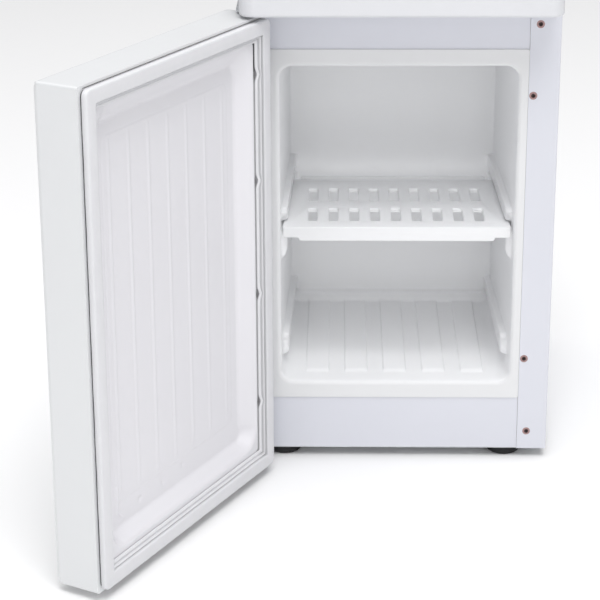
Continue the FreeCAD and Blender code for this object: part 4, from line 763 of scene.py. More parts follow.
class FRIDGE_OT_liner(bpy.types.Operator):
    """Compartment liner with its rim, shelf rails, ribbed floor and stepped back wall"""
    bl_idname = "fridge.liner"
    bl_label = "Compartment liner"

    def execute(self, context):
        points, faces = back_wall(*compartment_surface())
        obj = recalculated(mesh_object("liner_moulding", points, faces))
        towards_room = sum(face.normal.y * face.area for face in obj.data.polygons)
        if towards_room > 0:
            obj.data.flip_normals()
        shell_from(obj, 1.0)
        dress(obj, "liner_white", "cabinet", nodes=["inner_liner"], smooth_angle=60.0)
        return {"FINISHED"}


# ---------------------------------------------------------------- door
FLUTES = 7
FLUTE_PITCH = 31.0
FLUTE_HALF = 3.4
FIELD_MARGIN = 20.0
PAN_CORNER = 22.0
END_GAP = 3.4                        # door's ends to the edge of its liner
UPPER_SLOPE = 20.0
UPPER_BORDER = 24.2
LOWER_SLOPE = 9.0
LOWER_BORDER = 29.0
CREASE = ((99.0, 84.0), (99.0, 60.0), (92.0, 53.0))
DIMPLES = ((62.0, 58.5), (23.0, 58.5), (-12.0, 61.5))


def round_edge_distance(x, z, half_x, low, high, radius):
    """How far points lie inside a rounded rectangle; negative outside."""
    middle = (low + high) / 2
    qx = np.abs(x) - (half_x - radius)
    qz = np.abs(z - middle) - ((high - low) / 2 - radius)
    outside = np.hypot(np.maximum(qx, 0), np.maximum(qz, 0)) + np.minimum(np.maximum(qx, qz), 0)
    return radius - outside


def door_liner_surface():
    s = sizes()
    border, slope = s.pan_border / MM, s.pan_slope / MM
    depth, flute = s.pan_depth / MM, s.flute_height / MM
    edge_x, edge_low, edge_high = DOOR_HALF - 8.6, DOOR_BOTTOM + END_GAP, DOOR_TOP - END_GAP
    pan_half = DOOR_HALF - border
    low, high = DOOR_BOTTOM + LOWER_BORDER, DOOR_TOP - UPPER_BORDER
    flutes = (np.arange(FLUTES) - (FLUTES - 1) / 2) * FLUTE_PITCH
    field_half = pan_half - slope - 12.0
    field_low, field_high = low + slope + FIELD_MARGIN, high - slope - FIELD_MARGIN

    def line(first, last, edges, step, fine):
        ramps = np.arange(-3.0, slope + 4.0, 1.1)
        near = np.concatenate([first + ramps, last - ramps, np.arange(first + slope + 4, first + slope + 14, 1.6),
                               np.arange(last - slope - 20, last - slope - 4, 1.6)] + fine)
        places = spread(first - 13.0, last + 13.0, step, edges, FLUTE_HALF * 0.8)
        return np.unique(np.round(np.concatenate([places, near]), 2))

    near_x = [np.arange(place - 4.0, place + 4.1, 1.3) for place in (99.0, 92.0) + tuple(d[0] for d in DIMPLES)]
    xs = line(-pan_half, pan_half, list(flutes) + [-field_half, field_half], 8.0, near_x)
    zs = line(low, high, [field_low, field_high], 9.0, [np.arange(47.0, 90.0, 1.5)])
    xs, zs = xs[np.abs(xs) <= edge_x], zs[(zs >= edge_low) & (zs <= edge_high)]
    xs = np.unique(np.concatenate([[-edge_x], xs, [edge_x]]))
    zs = np.unique(np.concatenate([[edge_low], zs, [edge_high]]))
    x, z = np.meshgrid(xs, zs)
    inside = round_edge_distance(x, z, pan_half, low, high, PAN_CORNER)
    width = slope + (UPPER_SLOPE - slope) * smooth_step((z - high + UPPER_SLOPE * 1.6) / UPPER_SLOPE)
    width = width - (slope - LOWER_SLOPE) * smooth_step((low + 26.0 - z) / 14.0)
    offsets = np.linspace(-0.17, 0.17, 9)
    sink = depth * np.mean([np.clip(inside / width + offset, 0, 1) for offset in offsets], axis=0)
    field = round_edge_distance(x, z, field_half, field_low, field_high, 8.0)
    raised = 0.35 * smooth_step(field / 1.6 + 0.5)
    nearest = np.min(np.abs(x[..., None] - flutes), axis=-1)
    ridge = flute * (1 - smooth_step(nearest / FLUTE_HALF)) * smooth_step((field - 2.0) / 7.0)
    fold = np.full(x.shape, 1e9)
    for (x0, z0), (x1, z1) in zip(CREASE, CREASE[1:]):
        share = np.clip(((x - x0) * (x1 - x0) + (z - z0) * (z1 - z0)) / ((x1 - x0) ** 2 + (z1 - z0) ** 2), 0, 1)
        fold = np.minimum(fold, np.hypot(x - x0 - share * (x1 - x0), z - z0 - share * (z1 - z0)))
    crease = 1.0 * np.exp(-(fold / 2.2) ** 2)
    dents = sum(0.9 * np.exp(-((x - cx) ** 2 + (z - cz) ** 2) / 9.0) for cx, cz in DIMPLES)
    y = DOOR_INNER - sink + raised + ridge + crease - dents
    points = np.stack([x, y, z], -1).reshape(-1, 3)
    columns = len(xs)
    index = [[r * columns + c for c in range(columns)] for r in range(len(zs))]
    return points, grid_faces(len(zs), columns, index)


class FRIDGE_OT_door_liner(bpy.types.Operator):
    """Formed inner face of the door with its sloped recess and shallow flutes"""
    bl_idname = "fridge.door_liner"
    bl_label = "Door liner"

    def execute(self, context):
        points, faces = door_liner_surface()
        obj = mesh_object("door_liner_moulding", points, faces)
        if sum(face.normal.y for face in obj.data.polygons) < 0:
            obj.data.flip_normals()
        shell_from(obj, 1.4)
        obj.data.transform(DOOR_TURN)
        dress(obj, "door_panel", "door", nodes=["door_inner_liner"], smooth_angle=60.0)
        return {"FINISHED"}


# Seal section: distance in from the seal's outer edge, height over the door's inner face, and how
# far the point lies in a fold, which sets the painted shade there.
SEAL_SECTION = (
    (3.8, 0.0, 0.0), (3.7, 1.2, 0.0), (0.5, 1.5, 0.0), (0.0, 2.0, 0.0), (0.0, 5.6, 0.0), (0.4, 6.6, 0.0),
    (1.4, 7.1, 0.0), (3.0, 7.3, 0.0), (7.0, 7.36, 0.0), (11.8, 7.33, 0.0), (13.0, 7.15, 0.0),
    (13.6, 6.75, 0.5), (13.75, 6.2, 1.0), (13.75, 4.4, 1.0), (13.9, 3.6, 1.0), (14.3, 3.6, 1.0),
    (14.5, 4.2, 0.6), (14.8, 4.9, 0.0), (15.3, 5.15, 0.0), (15.8, 4.9, 0.0), (16.1, 4.2, 0.5),
    (16.2, 3.2, 1.0), (16.4, 2.2, 1.0), (16.9, 1.9, 1.0), (17.2, 2.4, 0.4), (17.7, 2.8, 0.0),
    (18.4, 2.9, 0.0), (19.2, 2.6, 0.0), (20.0, 2.0, 0.0), (20.4, 1.2, 0.3), (20.2, 0.6, 0.6),
    (14.0, 0.4, 0.0), (6.0, 0.0, 0.0))
SEAL_PINCHES = (418.0, 313.5, 198.0, 84.0)
STRIP_SECTION = ((0.0, 0.0, 0.0), (0.0, 0.9, 0.0), (0.5, 1.2, 0.0), (2.6, 1.2, 0.0), (3.1, 0.9, 0.0),
                 (3.1, 0.0, 0.0))


def seal_ridge(name, section, start, radius, finish, pinched=False, tucked=0.0):
    """A section carried round the door's inner face, with kinks on its hinge side."""
    rows, folds = [], []
    for across, height, fold in section:
        plan = seal_ring(start + across, max(1.0, radius - across * 0.4), 150)
        lift = np.full(len(plan), height)
        hinge_side = plan[:, 0] < -DOOR_HALF + 30.0
        # Painted shade: on the tucked strip the fold value is set at the pinches and above the top pinch, where shade
        # falls along the hinge side.
        if tucked:
            nearest = np.min(np.abs(plan[:, 1][:, None] - np.array(SEAL_PINCHES)), axis=1)
            fold = np.maximum(0.7 * np.exp(-(nearest / 5.0) ** 2), smooth_step((plan[:, 1] - SEAL_PINCHES[0]) / 6.0))
        folds.append(fold * hinge_side)
        if tucked:
            aside = seal_ring(start + across - tucked, max(1.0, radius - across * 0.4), 150)
            plan = np.where(hinge_side[:, None], plan, aside)
        if pinched:
            for place in SEAL_PINCHES:
                kink = np.exp(-((plan[:, 1] - place) / 4.0) ** 2) * hinge_side * smooth_step((across - 14.0) / 5.0)
                plan[:, 0] -= kink * 2.3
                lift += kink * 0.9
            lift += 0.1 * np.sin(plan[:, 1] * 0.11 + across) * (height > 1.4)
        rows.append(np.stack([plan[:, 0], DOOR_INNER + np.minimum(lift, 7.38), plan[:, 1]], 1))
    faces = ring_faces(len(rows), len(rows[0]), closed_across=True)
    obj = mesh_object(name, np.concatenate(rows), faces, DOOR_TURN)
    # The fold values carry the painted shade that the seal finishes read.
    obj.data.attributes.new("fold", "FLOAT", "POINT").data.foreach_set("value", np.concatenate(folds))
    return dress(recalculated(obj), finish, "door", smooth_angle=70.0)


def seal_ring(inset, radius, steps):
    """Rounded rectangle at a distance in from the door's edge, with upright sides finely divided."""
    half, low, high = DOOR_HALF - inset, DOOR_BOTTOM + inset, DOOR_TOP - inset
    xs = np.linspace(-DOOR_HALF + 30.0, DOOR_HALF - 30.0, 18)
    zs = np.linspace(DOOR_BOTTOM + 30.0, DOOR_TOP - 30.0, steps)
    corners = ((half - radius, low + radius, 270.0), (half - radius, high - radius, 0.0),
               (-half + radius, high - radius, 90.0), (-half + radius, low + radius, 180.0))
    arcs = []
    for cx, cz, start in corners:
        angles = np.radians(np.linspace(start, start + 90.0, 7))
        arcs.append(np.stack([cx + radius * np.cos(angles), cz + radius * np.sin(angles)], 1))
    sides = (np.stack([xs, np.full_like(xs, low)], 1), np.stack([np.full_like(zs, half), zs], 1),
             np.stack([xs[::-1], np.full_like(xs, high)], 1), np.stack([np.full_like(zs, -half), zs[::-1]], 1))
    return np.concatenate([part for pair in zip(sides, arcs) for part in pair])


class FRIDGE_OT_seal(bpy.types.Operator):
    """Door seal with its magnet channel, two side lips and the slight kinks of a packed extrusion, and two dark strips
    of painted shadow along it
    """
    bl_idname = "fridge.seal"
    bl_label = "Door seal"

    def execute(self, context):
        start = sizes().seal_inset / MM
        seal = seal_ridge("door_seal", SEAL_SECTION, start, 6.0, "seal_white", True)
        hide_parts("door_gasket")
        # Painted shadow: a near-black strip under the seal's outer lip stands in for the shadow in the gap there.
        seal_ridge("seal_shadow_strip", STRIP_SECTION, start + 1.4, 5.0, "seal_shadow_strip")
        # Painted shade: a grey strip inside the seal shows on the hinge side as a dark line standing in for shade.
        seal_ridge("seal_inner_shadow_strip", [(across, height * 0.3, fold) for across, height, fold in STRIP_SECTION],
                   start + 18.3, 3.0, "seal_painted_shade", tucked=3.9)
        return {"FINISHED"}


def eased(values, radius):
    """Pulls the corner of a square with the given side onto a round of that radius."""
    u, v = values[:, 0], values[:, 1]
    near = (u < radius) & (v < radius) & (u > -0.5) & (v > -0.5)
    a, b = 1 - u[near] / radius, 1 - v[near] / radius
    long = np.maximum(a, b)
    reach = np.where(long > 0, long / np.maximum(np.hypot(a, b), 1e-9), 1.0)
    out = values.copy()
    out[near, 0] = radius * (1 - a * reach)
    out[near, 1] = radius * (1 - b * reach)
    return out


def rounded_door_piece(node, name, width):
    """A copy of a door node with its long outer edges rounded at the top and the bottom."""
    radius = sizes().door_round / MM
    mesh = frame["nodes"][node].data.copy()
    mesh.name = name
    mesh.transform(DOOR_TURN.inverted())
    bm = bmesh.new()
    bm.from_mesh(mesh)
    bmesh.ops.remove_doubles(bm, verts=bm.verts, dist=0.000005)
    bmesh.ops.dissolve_limit(bm, angle_limit=math.radians(0.6), verts=bm.verts, edges=bm.edges)
    edges = ((1, DOOR_OUTER, 1, radius, ROUND_CUTS), (0, -DOOR_HALF, 1, END_ROUND, END_CUTS),
             (0, DOOR_HALF, -1, END_ROUND, END_CUTS))
    for axis, plane, sign, reach, cuts in edges:
        for step in reach * np.arange(1, cuts + 1) / cuts:
            for across, level in ((axis, plane + sign * step), (2, DOOR_BOTTOM + step), (2, DOOR_TOP - step)):
                normal = [float(index == across) for index in range(3)]
                bmesh.ops.bisect_plane(bm, geom=bm.verts[:] + bm.edges[:] + bm.faces[:], dist=0.000002,
                                       plane_co=[part * level * MM for part in normal], plane_no=normal)
    places = np.array([vert.co for vert in bm.verts]) / MM
    for axis, plane, sign, reach, cuts in edges:
        for low, up in ((DOOR_BOTTOM, 1), (DOOR_TOP, -1)):
            moved = eased(np.stack([sign * (places[:, axis] - plane), up * (places[:, 2] - low)], 1), reach)
            places[:, axis], places[:, 2] = plane + sign * moved[:, 0], low + up * moved[:, 1]
    for vert, place in zip(bm.verts, places):
        vert.co = place * MM
    bm.to_mesh(mesh)
    bm.free()
    mesh.materials.clear()
    obj = bpy.data.objects.new(name, mesh)
    bpy.context.scene.collection.objects.link(obj)
    if width:
        bevel = obj.modifiers.new("edges", "BEVEL")
        bevel.limit_method = "ANGLE"
        bevel.angle_limit = math.radians(34)
        bevel.width = width * MM
        bevel.segments = 2
        bevel.use_clamp_overlap = False
    flat_faced(obj)
    obj.data.transform(DOOR_TURN)
    return obj


class FRIDGE_OT_door_skin(bpy.types.Operator):
    """Folded door skin, its two end caps, its foam, the grip cup and the hinge bushes"""
    bl_idname = "fridge.door_skin"
    bl_label = "Door skin and ends"

    def execute(self, context):
        for node, name, finish, slot, width in (
                ("door_outer_shell", "door_skin", "door_white", "casing_white", 0.08),
                ("door_top_cap", "door_end_upper", "door_white", "trim_white", 0.1),
                ("door_bottom_cap", "door_end_lower", "door_white", "trim_white", 0.1),
                ("door_foam", "door_filling", "foam", "foam", 0.0)):
            dress(rounded_door_piece(node, name, width), finish, "door", nodes=[node],
                  smooth_angle=None)
        for node, name, finish, width in (("door_grip_cup", "door_grip", "trim_white", 0.4),
                                          ("door_hinge_bushes", "door_bushes", "nylon", 0.2)):
            dress(softened(node, name, width), finish, "door", nodes=[node], smooth_angle=None)
        return {"FINISHED"}


# ---------------------------------------------------------------- shelf
SHELF_TOP = SHELF_HIGH[2] - 4.0
SHELF_DEPTH = SHELF_HIGH[1] - SHELF_LOW[1]
SHELF_ENDS = (SHELF_HIGH[0], SHELF_HIGH[0] - 3.6)
SLOT_ROWS = ((20.0, 40.0), (84.0, 42.0))
SLOT_COLUMNS = 9
SLOT_PITCH = 21.0
PLATE = 3.0
APRON_DROP = 11.2
NOSE_DROP = SHELF_TOP - SHELF_LOW[2]
NOSE_HALF = 98.0


def rounded_outline(corners, radii, steps=5):
    """Closed outline with each corner rounded by its radius."""
    outline = []
    count = len(corners)
    for i, (corner, radius) in enumerate(zip(corners, radii)):
        corner = np.array(corner, float)
        before = np.array(corners[i - 1], float) - corner
        after = np.array(corners[(i + 1) % count], float) - corner
        before /= np.linalg.norm(before)
        after /= np.linalg.norm(after)
        half_angle = math.acos(max(-1.0, min(1.0, float(before @ after)))) / 2
        reach = radius / math.tan(half_angle)
        middle = (before + after) / np.linalg.norm(before + after)
        centre = corner + middle * radius / math.sin(half_angle)
        first, last = corner + before * reach - centre, corner + after * reach - centre
        start = math.atan2(first[1], first[0])
        turn = (math.atan2(last[1], last[0]) - start + math.pi) % (2 * math.pi) - math.pi
        for share in np.linspace(0, 1, steps):
            angle = start + turn * share
            outline.append(centre + radius * np.array([math.cos(angle), math.sin(angle)]))
    return np.array(outline)


def plate_with_holes(name, outline, holes, low, high, bevel):
    """A flat plate with rounded edges and holes, from a filled curve."""
    curve = bpy.data.curves.new(name, "CURVE")
    curve.dimensions = "2D"
    curve.fill_mode = "BOTH"
    curve.extrude = ((high - low) / 2 - bevel) * MM
    curve.bevel_depth = bevel * MM
    curve.bevel_resolution = 2
    curve.offset = -bevel * MM
    for loop in [outline] + holes:
        spline = curve.splines.new("POLY")
        spline.points.add(len(loop) - 1)
        for point, (x, y) in zip(spline.points, loop):
            point.co = (x * MM, y * MM, 0.0, 1.0)
        spline.use_cyclic_u = True
    obj = bpy.data.objects.new(name, curve)
    bpy.context.scene.collection.objects.link(obj)
    graph = bpy.context.evaluated_depsgraph_get()
    graph.update()
    mesh = bpy.data.meshes.new_from_object(obj.evaluated_get(graph))
    bpy.data.objects.remove(obj)
    mesh.transform(Matrix.Translation((0, 0, (low + high) / 2 * MM)))
    solid = bpy.data.objects.new(name, mesh)
    mesh.name = name
    bpy.context.scene.collection.objects.link(solid)
    return recalculated(solid)


def extruded(outline, axis, start, end, round_off):
    """Points and faces of an outline carried along an axis, with its end edges rounded."""
    outline = np.asarray(outline, float)
    ahead, behind = np.roll(outline, -1, 0) - outline, outline - np.roll(outline, 1, 0)
    normal = np.stack([(ahead + behind)[:, 1], -(ahead + behind)[:, 0]], 1)
    normal /= np.linalg.norm(normal, axis=1)[:, None]
    area = np.sum(outline[:, 0] * np.roll(outline[:, 1], -1) - np.roll(outline[:, 0], -1) * outline[:, 1])
    normal *= 1 if area > 0 else -1
    rings = []
    for share in (0.0, 0.3, 1.0):
        inset = round_off * (1 - math.sin(share * math.pi / 2))
        rings.append((outline - normal * inset, round_off * (1 - math.cos(share * math.pi / 2))))
    stations = [(loop, start + rise) for loop, rise in rings] + [(loop, end - rise) for loop, rise in rings[::-1]]
    points = []
    for loop, place in stations:
        for u, v in loop:
            points.append({"X": (place, u, v), "Y": (u, place, v), "Z": (u, v, place)}[axis])
    count = len(outline)
    faces = ring_faces(len(stations), count)
    faces.append(tuple(reversed(range(count))))
    last = (len(stations) - 1) * count
    faces.append(tuple(range(last, last + count)))
    return points, faces


def slot_centres():
    front = SHELF_LOW[1]
    return [((column - (SLOT_COLUMNS - 1) / 2) * SLOT_PITCH, front + start + size / 2, size)
            for start, size in SLOT_ROWS for column in range(SLOT_COLUMNS)]


class FRIDGE_OT_shelf(bpy.types.Operator):
    """Slotted shelf with its deep front edge, rear lip and the walls round its slots"""
    bl_idname = "fridge.shelf"
    bl_label = "Shelf"

    def execute(self, context):
        wide = sizes().slot_width / MM
        front, back = SHELF_LOW[1], SHELF_HIGH[1]
        near, far = SHELF_ENDS
        corners = [(-near, front), (near, front), (far, back), (-far, back)]
        outline = rounded_outline(corners, [2.5, 2.5, 8.0, 8.0])
        holes = []
        for x, y, size in slot_centres():
            w, h = wide / 2, size / 2
            loop = rounded_outline([(x - w, y - h), (x + w, y - h), (x + w, y + h), (x - w, y + h)], [2.2] * 4)
            holes.append(loop)
        plate = plate_with_holes("shelf_plate", outline, holes, SHELF_TOP - PLATE, SHELF_TOP, 0.7)
        end, low, mid = near - 0.3, SHELF_TOP - NOSE_DROP, SHELF_TOP - APRON_DROP
        lean = (NOSE_DROP - APRON_DROP) * 0.4
        apron = rounded_outline(
            [(-end, SHELF_TOP - 0.6), (-end, mid), (-NOSE_HALF, mid), (-NOSE_HALF + lean, low),
             (NOSE_HALF - lean, low), (NOSE_HALF, mid), (end, mid), (end, SHELF_TOP - 0.6)],
            [0.8, 2.4, 0.8, 1.6, 1.6, 0.8, 2.4, 0.8])
        front_edge = extruded(apron, "Y", front + 0.02, front + 3.2, 0.9)
        lip = rounded_outline([(back - 3.0, SHELF_TOP - 1.0), (back - 0.05, SHELF_TOP - 1.0),
                               (back - 0.05, SHELF_HIGH[2]), (back - 3.0, SHELF_HIGH[2])],
                              [0.4, 0.4, 1.3, 1.3])
        rear_lip = extruded(lip, "X", -far + 12.0, far - 12.0, 1.2)
        pad = rounded_outline([(-5.0, front + 62.5), (5.0, front + 62.5), (5.0, front + 70.0), (-5.0, front + 70.0)],
                              [1.2] * 4)
        gate = extruded(pad, "Z", SHELF_TOP - 0.5, SHELF_TOP + 0.7, 0.5)
        solids = mesh_object("shelf_edges", *merged([front_edge, rear_lip, gate]))
        walls = slot_walls(wide)
        obj = joined("shelf_moulding", [plate, recalculated(solids), walls])
        dress(obj, "shelf_white", "shelf", nodes=["shelf"], smooth_angle=40.0)
        return {"FINISHED"}


def joined(name, objects):
    """One object from several, all at the origin."""
    bm = bmesh.new()
    for obj in objects:
        bm.from_mesh(obj.data)
    mesh = bpy.data.meshes.new(name)
    bm.to_mesh(mesh)
    bm.free()
    for obj in objects:
        bpy.data.objects.remove(obj)
    result = bpy.data.objects.new(name, mesh)
    bpy.context.scene.collection.objects.link(result)
    return result


# ---------------------------------------------------------------- repeated shapes, made by geometry nodes
class Shapes(Tree):
    """A geometry node tree with named inputs."""

    def __init__(self, name, **inputs):
        group = bpy.data.node_groups.new(name, "GeometryNodeTree")
        super().__init__(group)
        self.keys = {}
        self.group = group
        group.interface.new_socket(name="Geometry", in_out="INPUT", socket_type="NodeSocketGeometry")
        for label, kind in inputs.items():
            socket = group.interface.new_socket(name=label.replace("_", " "), in_out="INPUT",
                                                socket_type="NodeSocket" + kind)
            self.keys[label] = socket.identifier
        group.interface.new_socket(name="Geometry", in_out="OUTPUT", socket_type="NodeSocketGeometry")
        self.source = group.nodes.new("NodeGroupInput")

    def given(self, label):
        return Value(self, self.source.outputs[label.replace("_", " ")])

    def close(self, instances, material="Material"):
        """Ends the tree: instances made real, then their material."""
        real = self.add("GeometryNodeRealizeInstances", None, instances)
        painted = self.add("GeometryNodeSetMaterial", None, Geometry=real, Material=self.given(material))
        end = self.group.nodes.new("NodeGroupOutput")
        self.group.links.new(painted.socket, end.inputs[0])

    def run(self, name, places, directions, material, **values):
        """A plain mesh with the shape at each place, in millimetres, turned to its direction."""
        obj = mesh_object(name, places, [])
        facing = obj.data.attributes.new("facing", "FLOAT_VECTOR", "POINT")
        facing.data.foreach_set("vector", np.asarray(directions, np.float32).ravel())
        modifier = obj.modifiers.new(name, "NODES")
        modifier.node_group = self.group
        for label, value in values.items():
            modifier[self.keys[label]] = value
        modifier[self.keys["Material"]] = finishes[material]
        return baked(obj)

    def facing(self, spin=None):
        """Rotation that turns +Z to each point's stored direction, after a spin about +Z."""
        direction = self.add("GeometryNodeInputNamedAttribute", {"data_type": "FLOAT_VECTOR"}, "facing")
        turned = self.add("FunctionNodeAlignRotationToVector", {"axis": "Z"}, Vector=direction)
        if spin is None:
            return turned
        return self.add("FunctionNodeRotateRotation", {"rotation_space": "LOCAL"}, turned, spin)


def screw_tree():
    """Pan head with a cross recess, turned to a fixed random position."""
    t = Shapes("cross_head_screws", Radius="Float", Height="Float", Seed="Int", Material="Material")
    radius, height = t.given("Radius"), t.given("Height")
    dome = t.add("GeometryNodeMeshUVSphere", None, Segments=28, Rings=16, Radius=1.0)
    scale = t.add("ShaderNodeCombineXYZ", None, radius, radius, height)
    dome = t.add("GeometryNodeTransform", None, Geometry=dome, Scale=scale)
    size = t.add("ShaderNodeCombineXYZ", None, radius * 3.0, radius * 3.0, height * 3.0)
    below = t.add("GeometryNodeMeshCube", None, Size=size)
    drop = t.add("ShaderNodeCombineXYZ", None, 0.0, 0.0, height * -1.5)
    below = t.add("GeometryNodeTransform", None, Geometry=below, Translation=drop)
    arm = t.add("ShaderNodeCombineXYZ", None, radius * 1.15, radius * 0.26, height * 1.1)
    lift = t.add("ShaderNodeCombineXYZ", None, 0.0, 0.0, height * 1.22)
    cross = []
    for angle in (0.0, math.pi / 2):
        bar = t.add("GeometryNodeMeshCube", None, Size=arm)
        cross.append(t.add("GeometryNodeTransform", None, Geometry=bar, Translation=lift,
                           Rotation=(0.0, 0.0, angle)))
    head = dome
    for cutter in [below] + cross:
        head = t.add("GeometryNodeMeshBoolean", {"operation": "DIFFERENCE"}, head, cutter)
    from_axis = t.add("ShaderNodeVectorMath", {"operation": "LENGTH"},
                      t.add("ShaderNodeVectorMath", {"operation": "MULTIPLY"},
                            t.add("GeometryNodeInputPosition"), (1.0, 1.0, 0.0)), out=1)
    head = t.add("GeometryNodeStoreNamedAttribute", {"data_type": "FLOAT"}, Geometry=head, Name="from_axis",
                 Value=from_axis.math("DIVIDE", radius))
    angle = t.add("FunctionNodeRandomValue", {"data_type": "FLOAT"}, Seed=t.given("Seed"), out=1)
    spin = t.add("ShaderNodeCombineXYZ", None, 0.0, 0.0, angle * 3.0)
    spin = t.add("FunctionNodeEulerToRotation", None, spin)
    t.close(t.add("GeometryNodeInstanceOnPoints", None, Points=t.given("Geometry"), Instance=head,
                  Rotation=t.facing(spin)))
    return t


def frame_tree():
    """Rounded frame round an opening: a small section carried along a rounded rectangle."""
    t = Shapes("rounded_frames", Width="Float", Length="Float", Corner="Float", Section_width="Float",
               Section_height="Float", Material="Material")
    path = t.add("GeometryNodeCurvePrimitiveQuadrilateral", None, Width=t.given("Width"),
                 Height=t.given("Length"))
    path = t.add("GeometryNodeFilletCurve", {"mode": "POLY"}, Curve=path, Radius=t.given("Corner"), Count=5)
    section = t.add("GeometryNodeCurvePrimitiveQuadrilateral", None, Width=t.given("Section_width"),
                    Height=t.given("Section_height"))
    soft = t.given("Section_width") * 0.3
    section = t.add("GeometryNodeFilletCurve", {"mode": "POLY"}, Curve=section, Radius=soft, Count=2)
    ring = t.add("GeometryNodeCurveToMesh", None, Curve=path, Profile_Curve=section)
    t.close(t.add("GeometryNodeInstanceOnPoints", None, Points=t.given("Geometry"), Instance=ring,
                  Rotation=t.facing()))
    return t


def stud_tree():
    """Short round-ended bars, laid along each point's direction."""
    t = Shapes("short_bars", Radius="Float", Length="Float", Material="Material")
    bar = t.add("GeometryNodeMeshCylinder", None, Vertices=12, Radius=t.given("Radius"), Depth=t.given("Length"))
    t.close(t.add("GeometryNodeInstanceOnPoints", None, Points=t.given("Geometry"), Instance=bar,
                  Rotation=t.facing()))
    return t


trees = {}


def tree(name, make):
    if name not in trees:
        trees[name] = make()
    return trees[name]


def slot_walls(wide):
    """Walls round the shelf's slots, below its plate."""
    frames = tree("frames", frame_tree)
    drop = 2.4
    rows = []
    for start, size in SLOT_ROWS:
        centres = [(x, y, SHELF_TOP - PLATE - drop / 2 + 0.5) for x, y, s in slot_centres() if s == size]
        rows.append(frames.run("slot_walls", centres, [(0, 0, 1)] * len(centres), "liner_white",
                               Width=(wide + 1.3) * MM, Length=(size + 1.3) * MM, Corner=2.6 * MM,
                               Section_width=drop * MM, Section_height=1.3 * MM))
    return joined("slot_walls_all", rows)


def screw_heads(name, places, direction, body, node, radius=None, height=None):
    s = sizes()
    obj = tree("screws", screw_tree).run(name, places, [direction] * len(places), "screw_steel",
                                         Radius=radius or s.screw_radius, Height=height or s.screw_height,
                                         Seed=look().screw_seed)
    return dress(recalculated(obj), "screw_steel", body, nodes=[node], smooth_angle=35.0)


def centres_of(node, axis_value=None):
    """Middles of a CAD node's separate solids, in millimetres."""
    bm = bmesh.new()
    bm.from_mesh(frame["nodes"][node].data)
    bmesh.ops.remove_doubles(bm, verts=bm.verts, dist=0.000005)
    seen, boxes = set(), []
    for vert in bm.verts:
        if vert in seen:
            continue
        stack, members = [vert], []
        seen.add(vert)
        while stack:
            current = stack.pop()
            members.append(current.co.copy())
            for edge in current.link_edges:
                other = edge.other_vert(current)
                if other not in seen:
                    seen.add(other)
                    stack.append(other)
        array = np.array(members) / MM
        boxes.append((array.min(0), array.max(0)))
    bm.free()
    return boxes


FLANGE_DOME = 0.5                    # height of the heads sunk into the flanges


class FRIDGE_OT_screws(bpy.types.Operator):
    """Cross-head screws of the casing, the rear cover, the hinges, the feet and the compressor"""
    bl_idname = "fridge.screws"
    bl_label = "Screws"

    def execute(self, context):
        rows = (("flange_screws", "casing_screws", 1, -1), ("rear_cover_screws", "cover_screws", 1, 1),
                ("foot_screws", "foot_fixings", 2, -1), ("compressor_bolts", "compressor_fixings", 2, 1))
        for node, name, axis, sign in rows:
            places, radius = [], 0.0
            direction = [0.0, 0.0, 0.0]
            direction[axis] = sign
            height = FLANGE_DOME if node == "flange_screws" else sizes().screw_height / MM
            for low, high in centres_of(node):
                place = (low + high) / 2
                place[axis] = high[axis] - height if sign > 0 else low[axis] + height
                radius = max(high - low) / 2
                places.append(place)
            large = sizes().screw_radius if node == "flange_screws" else radius * MM
            screw_heads(name, places, direction, "cabinet", node, large, height * MM)
        low_places, high_places = [], []
        for low, high in centres_of("hinge_screws"):
            place = (low + high) / 2
            if place[2] < 100.0:
                place[2] = low[2] + sizes().screw_height / MM
                low_places.append(place)
            else:
                place[2] = high[2] - 0.4
                high_places.append(place)
        lower = tree("screws", screw_tree).run("hinge_fixings_lower", low_places, [(0, 0, -1)] * 2, "screw_steel",
                                               Radius=sizes().screw_radius, Height=sizes().screw_height,
                                               Seed=look().screw_seed)
        upper = tree("screws", screw_tree).run("hinge_fixings_upper", high_places, [(0, 0, 1)] * 2, "screw_steel",
                                               Radius=sizes().screw_radius, Height=0.4 * MM,
                                               Seed=look().screw_seed)
        dress(recalculated(joined("hinge_fixings", [lower, upper])), "screw_steel", "cabinet",
              nodes=["hinge_screws"], smooth_angle=35.0)
        return {"FINISHED"}


# ---------------------------------------------------------------- casing
def folded_side(sign):
    """Section of a side panel: front flange, side and rear return, with rounded folds."""
    fold = sizes().fold_radius / MM
    flange = PANEL_LOW[0]
    rear = PANEL_HIGH[1]
    inside = HALF - 1.0
    corners = [(flange, FRONT), (HALF, FRONT), (HALF, rear), (HALF - 12.0, rear), (HALF - 12.0, rear - 1.0),
               (inside, rear - 1.0), (inside, FRONT + 1.0), (flange, FRONT + 1.0)]
    radii = [0.2, fold, fold, 0.4, 0.4, fold - 1.0, fold - 1.0, 0.2]
    outline = rounded_outline(corners, radii)
    outline[:, 0] *= sign
    return outline if sign > 0 else outline[::-1]


def widened(rail):
    """Carries a rail's ends out to a hair's breadth from the flanges."""
    for vertex in rail.data.vertices:
        if abs(vertex.co.x) > (PANEL_LOW[0] - 0.8) * MM:
            vertex.co.x += math.copysign(RAIL_REACH * MM, vertex.co.x)
    return rail


RAIL_REACH = 0.15


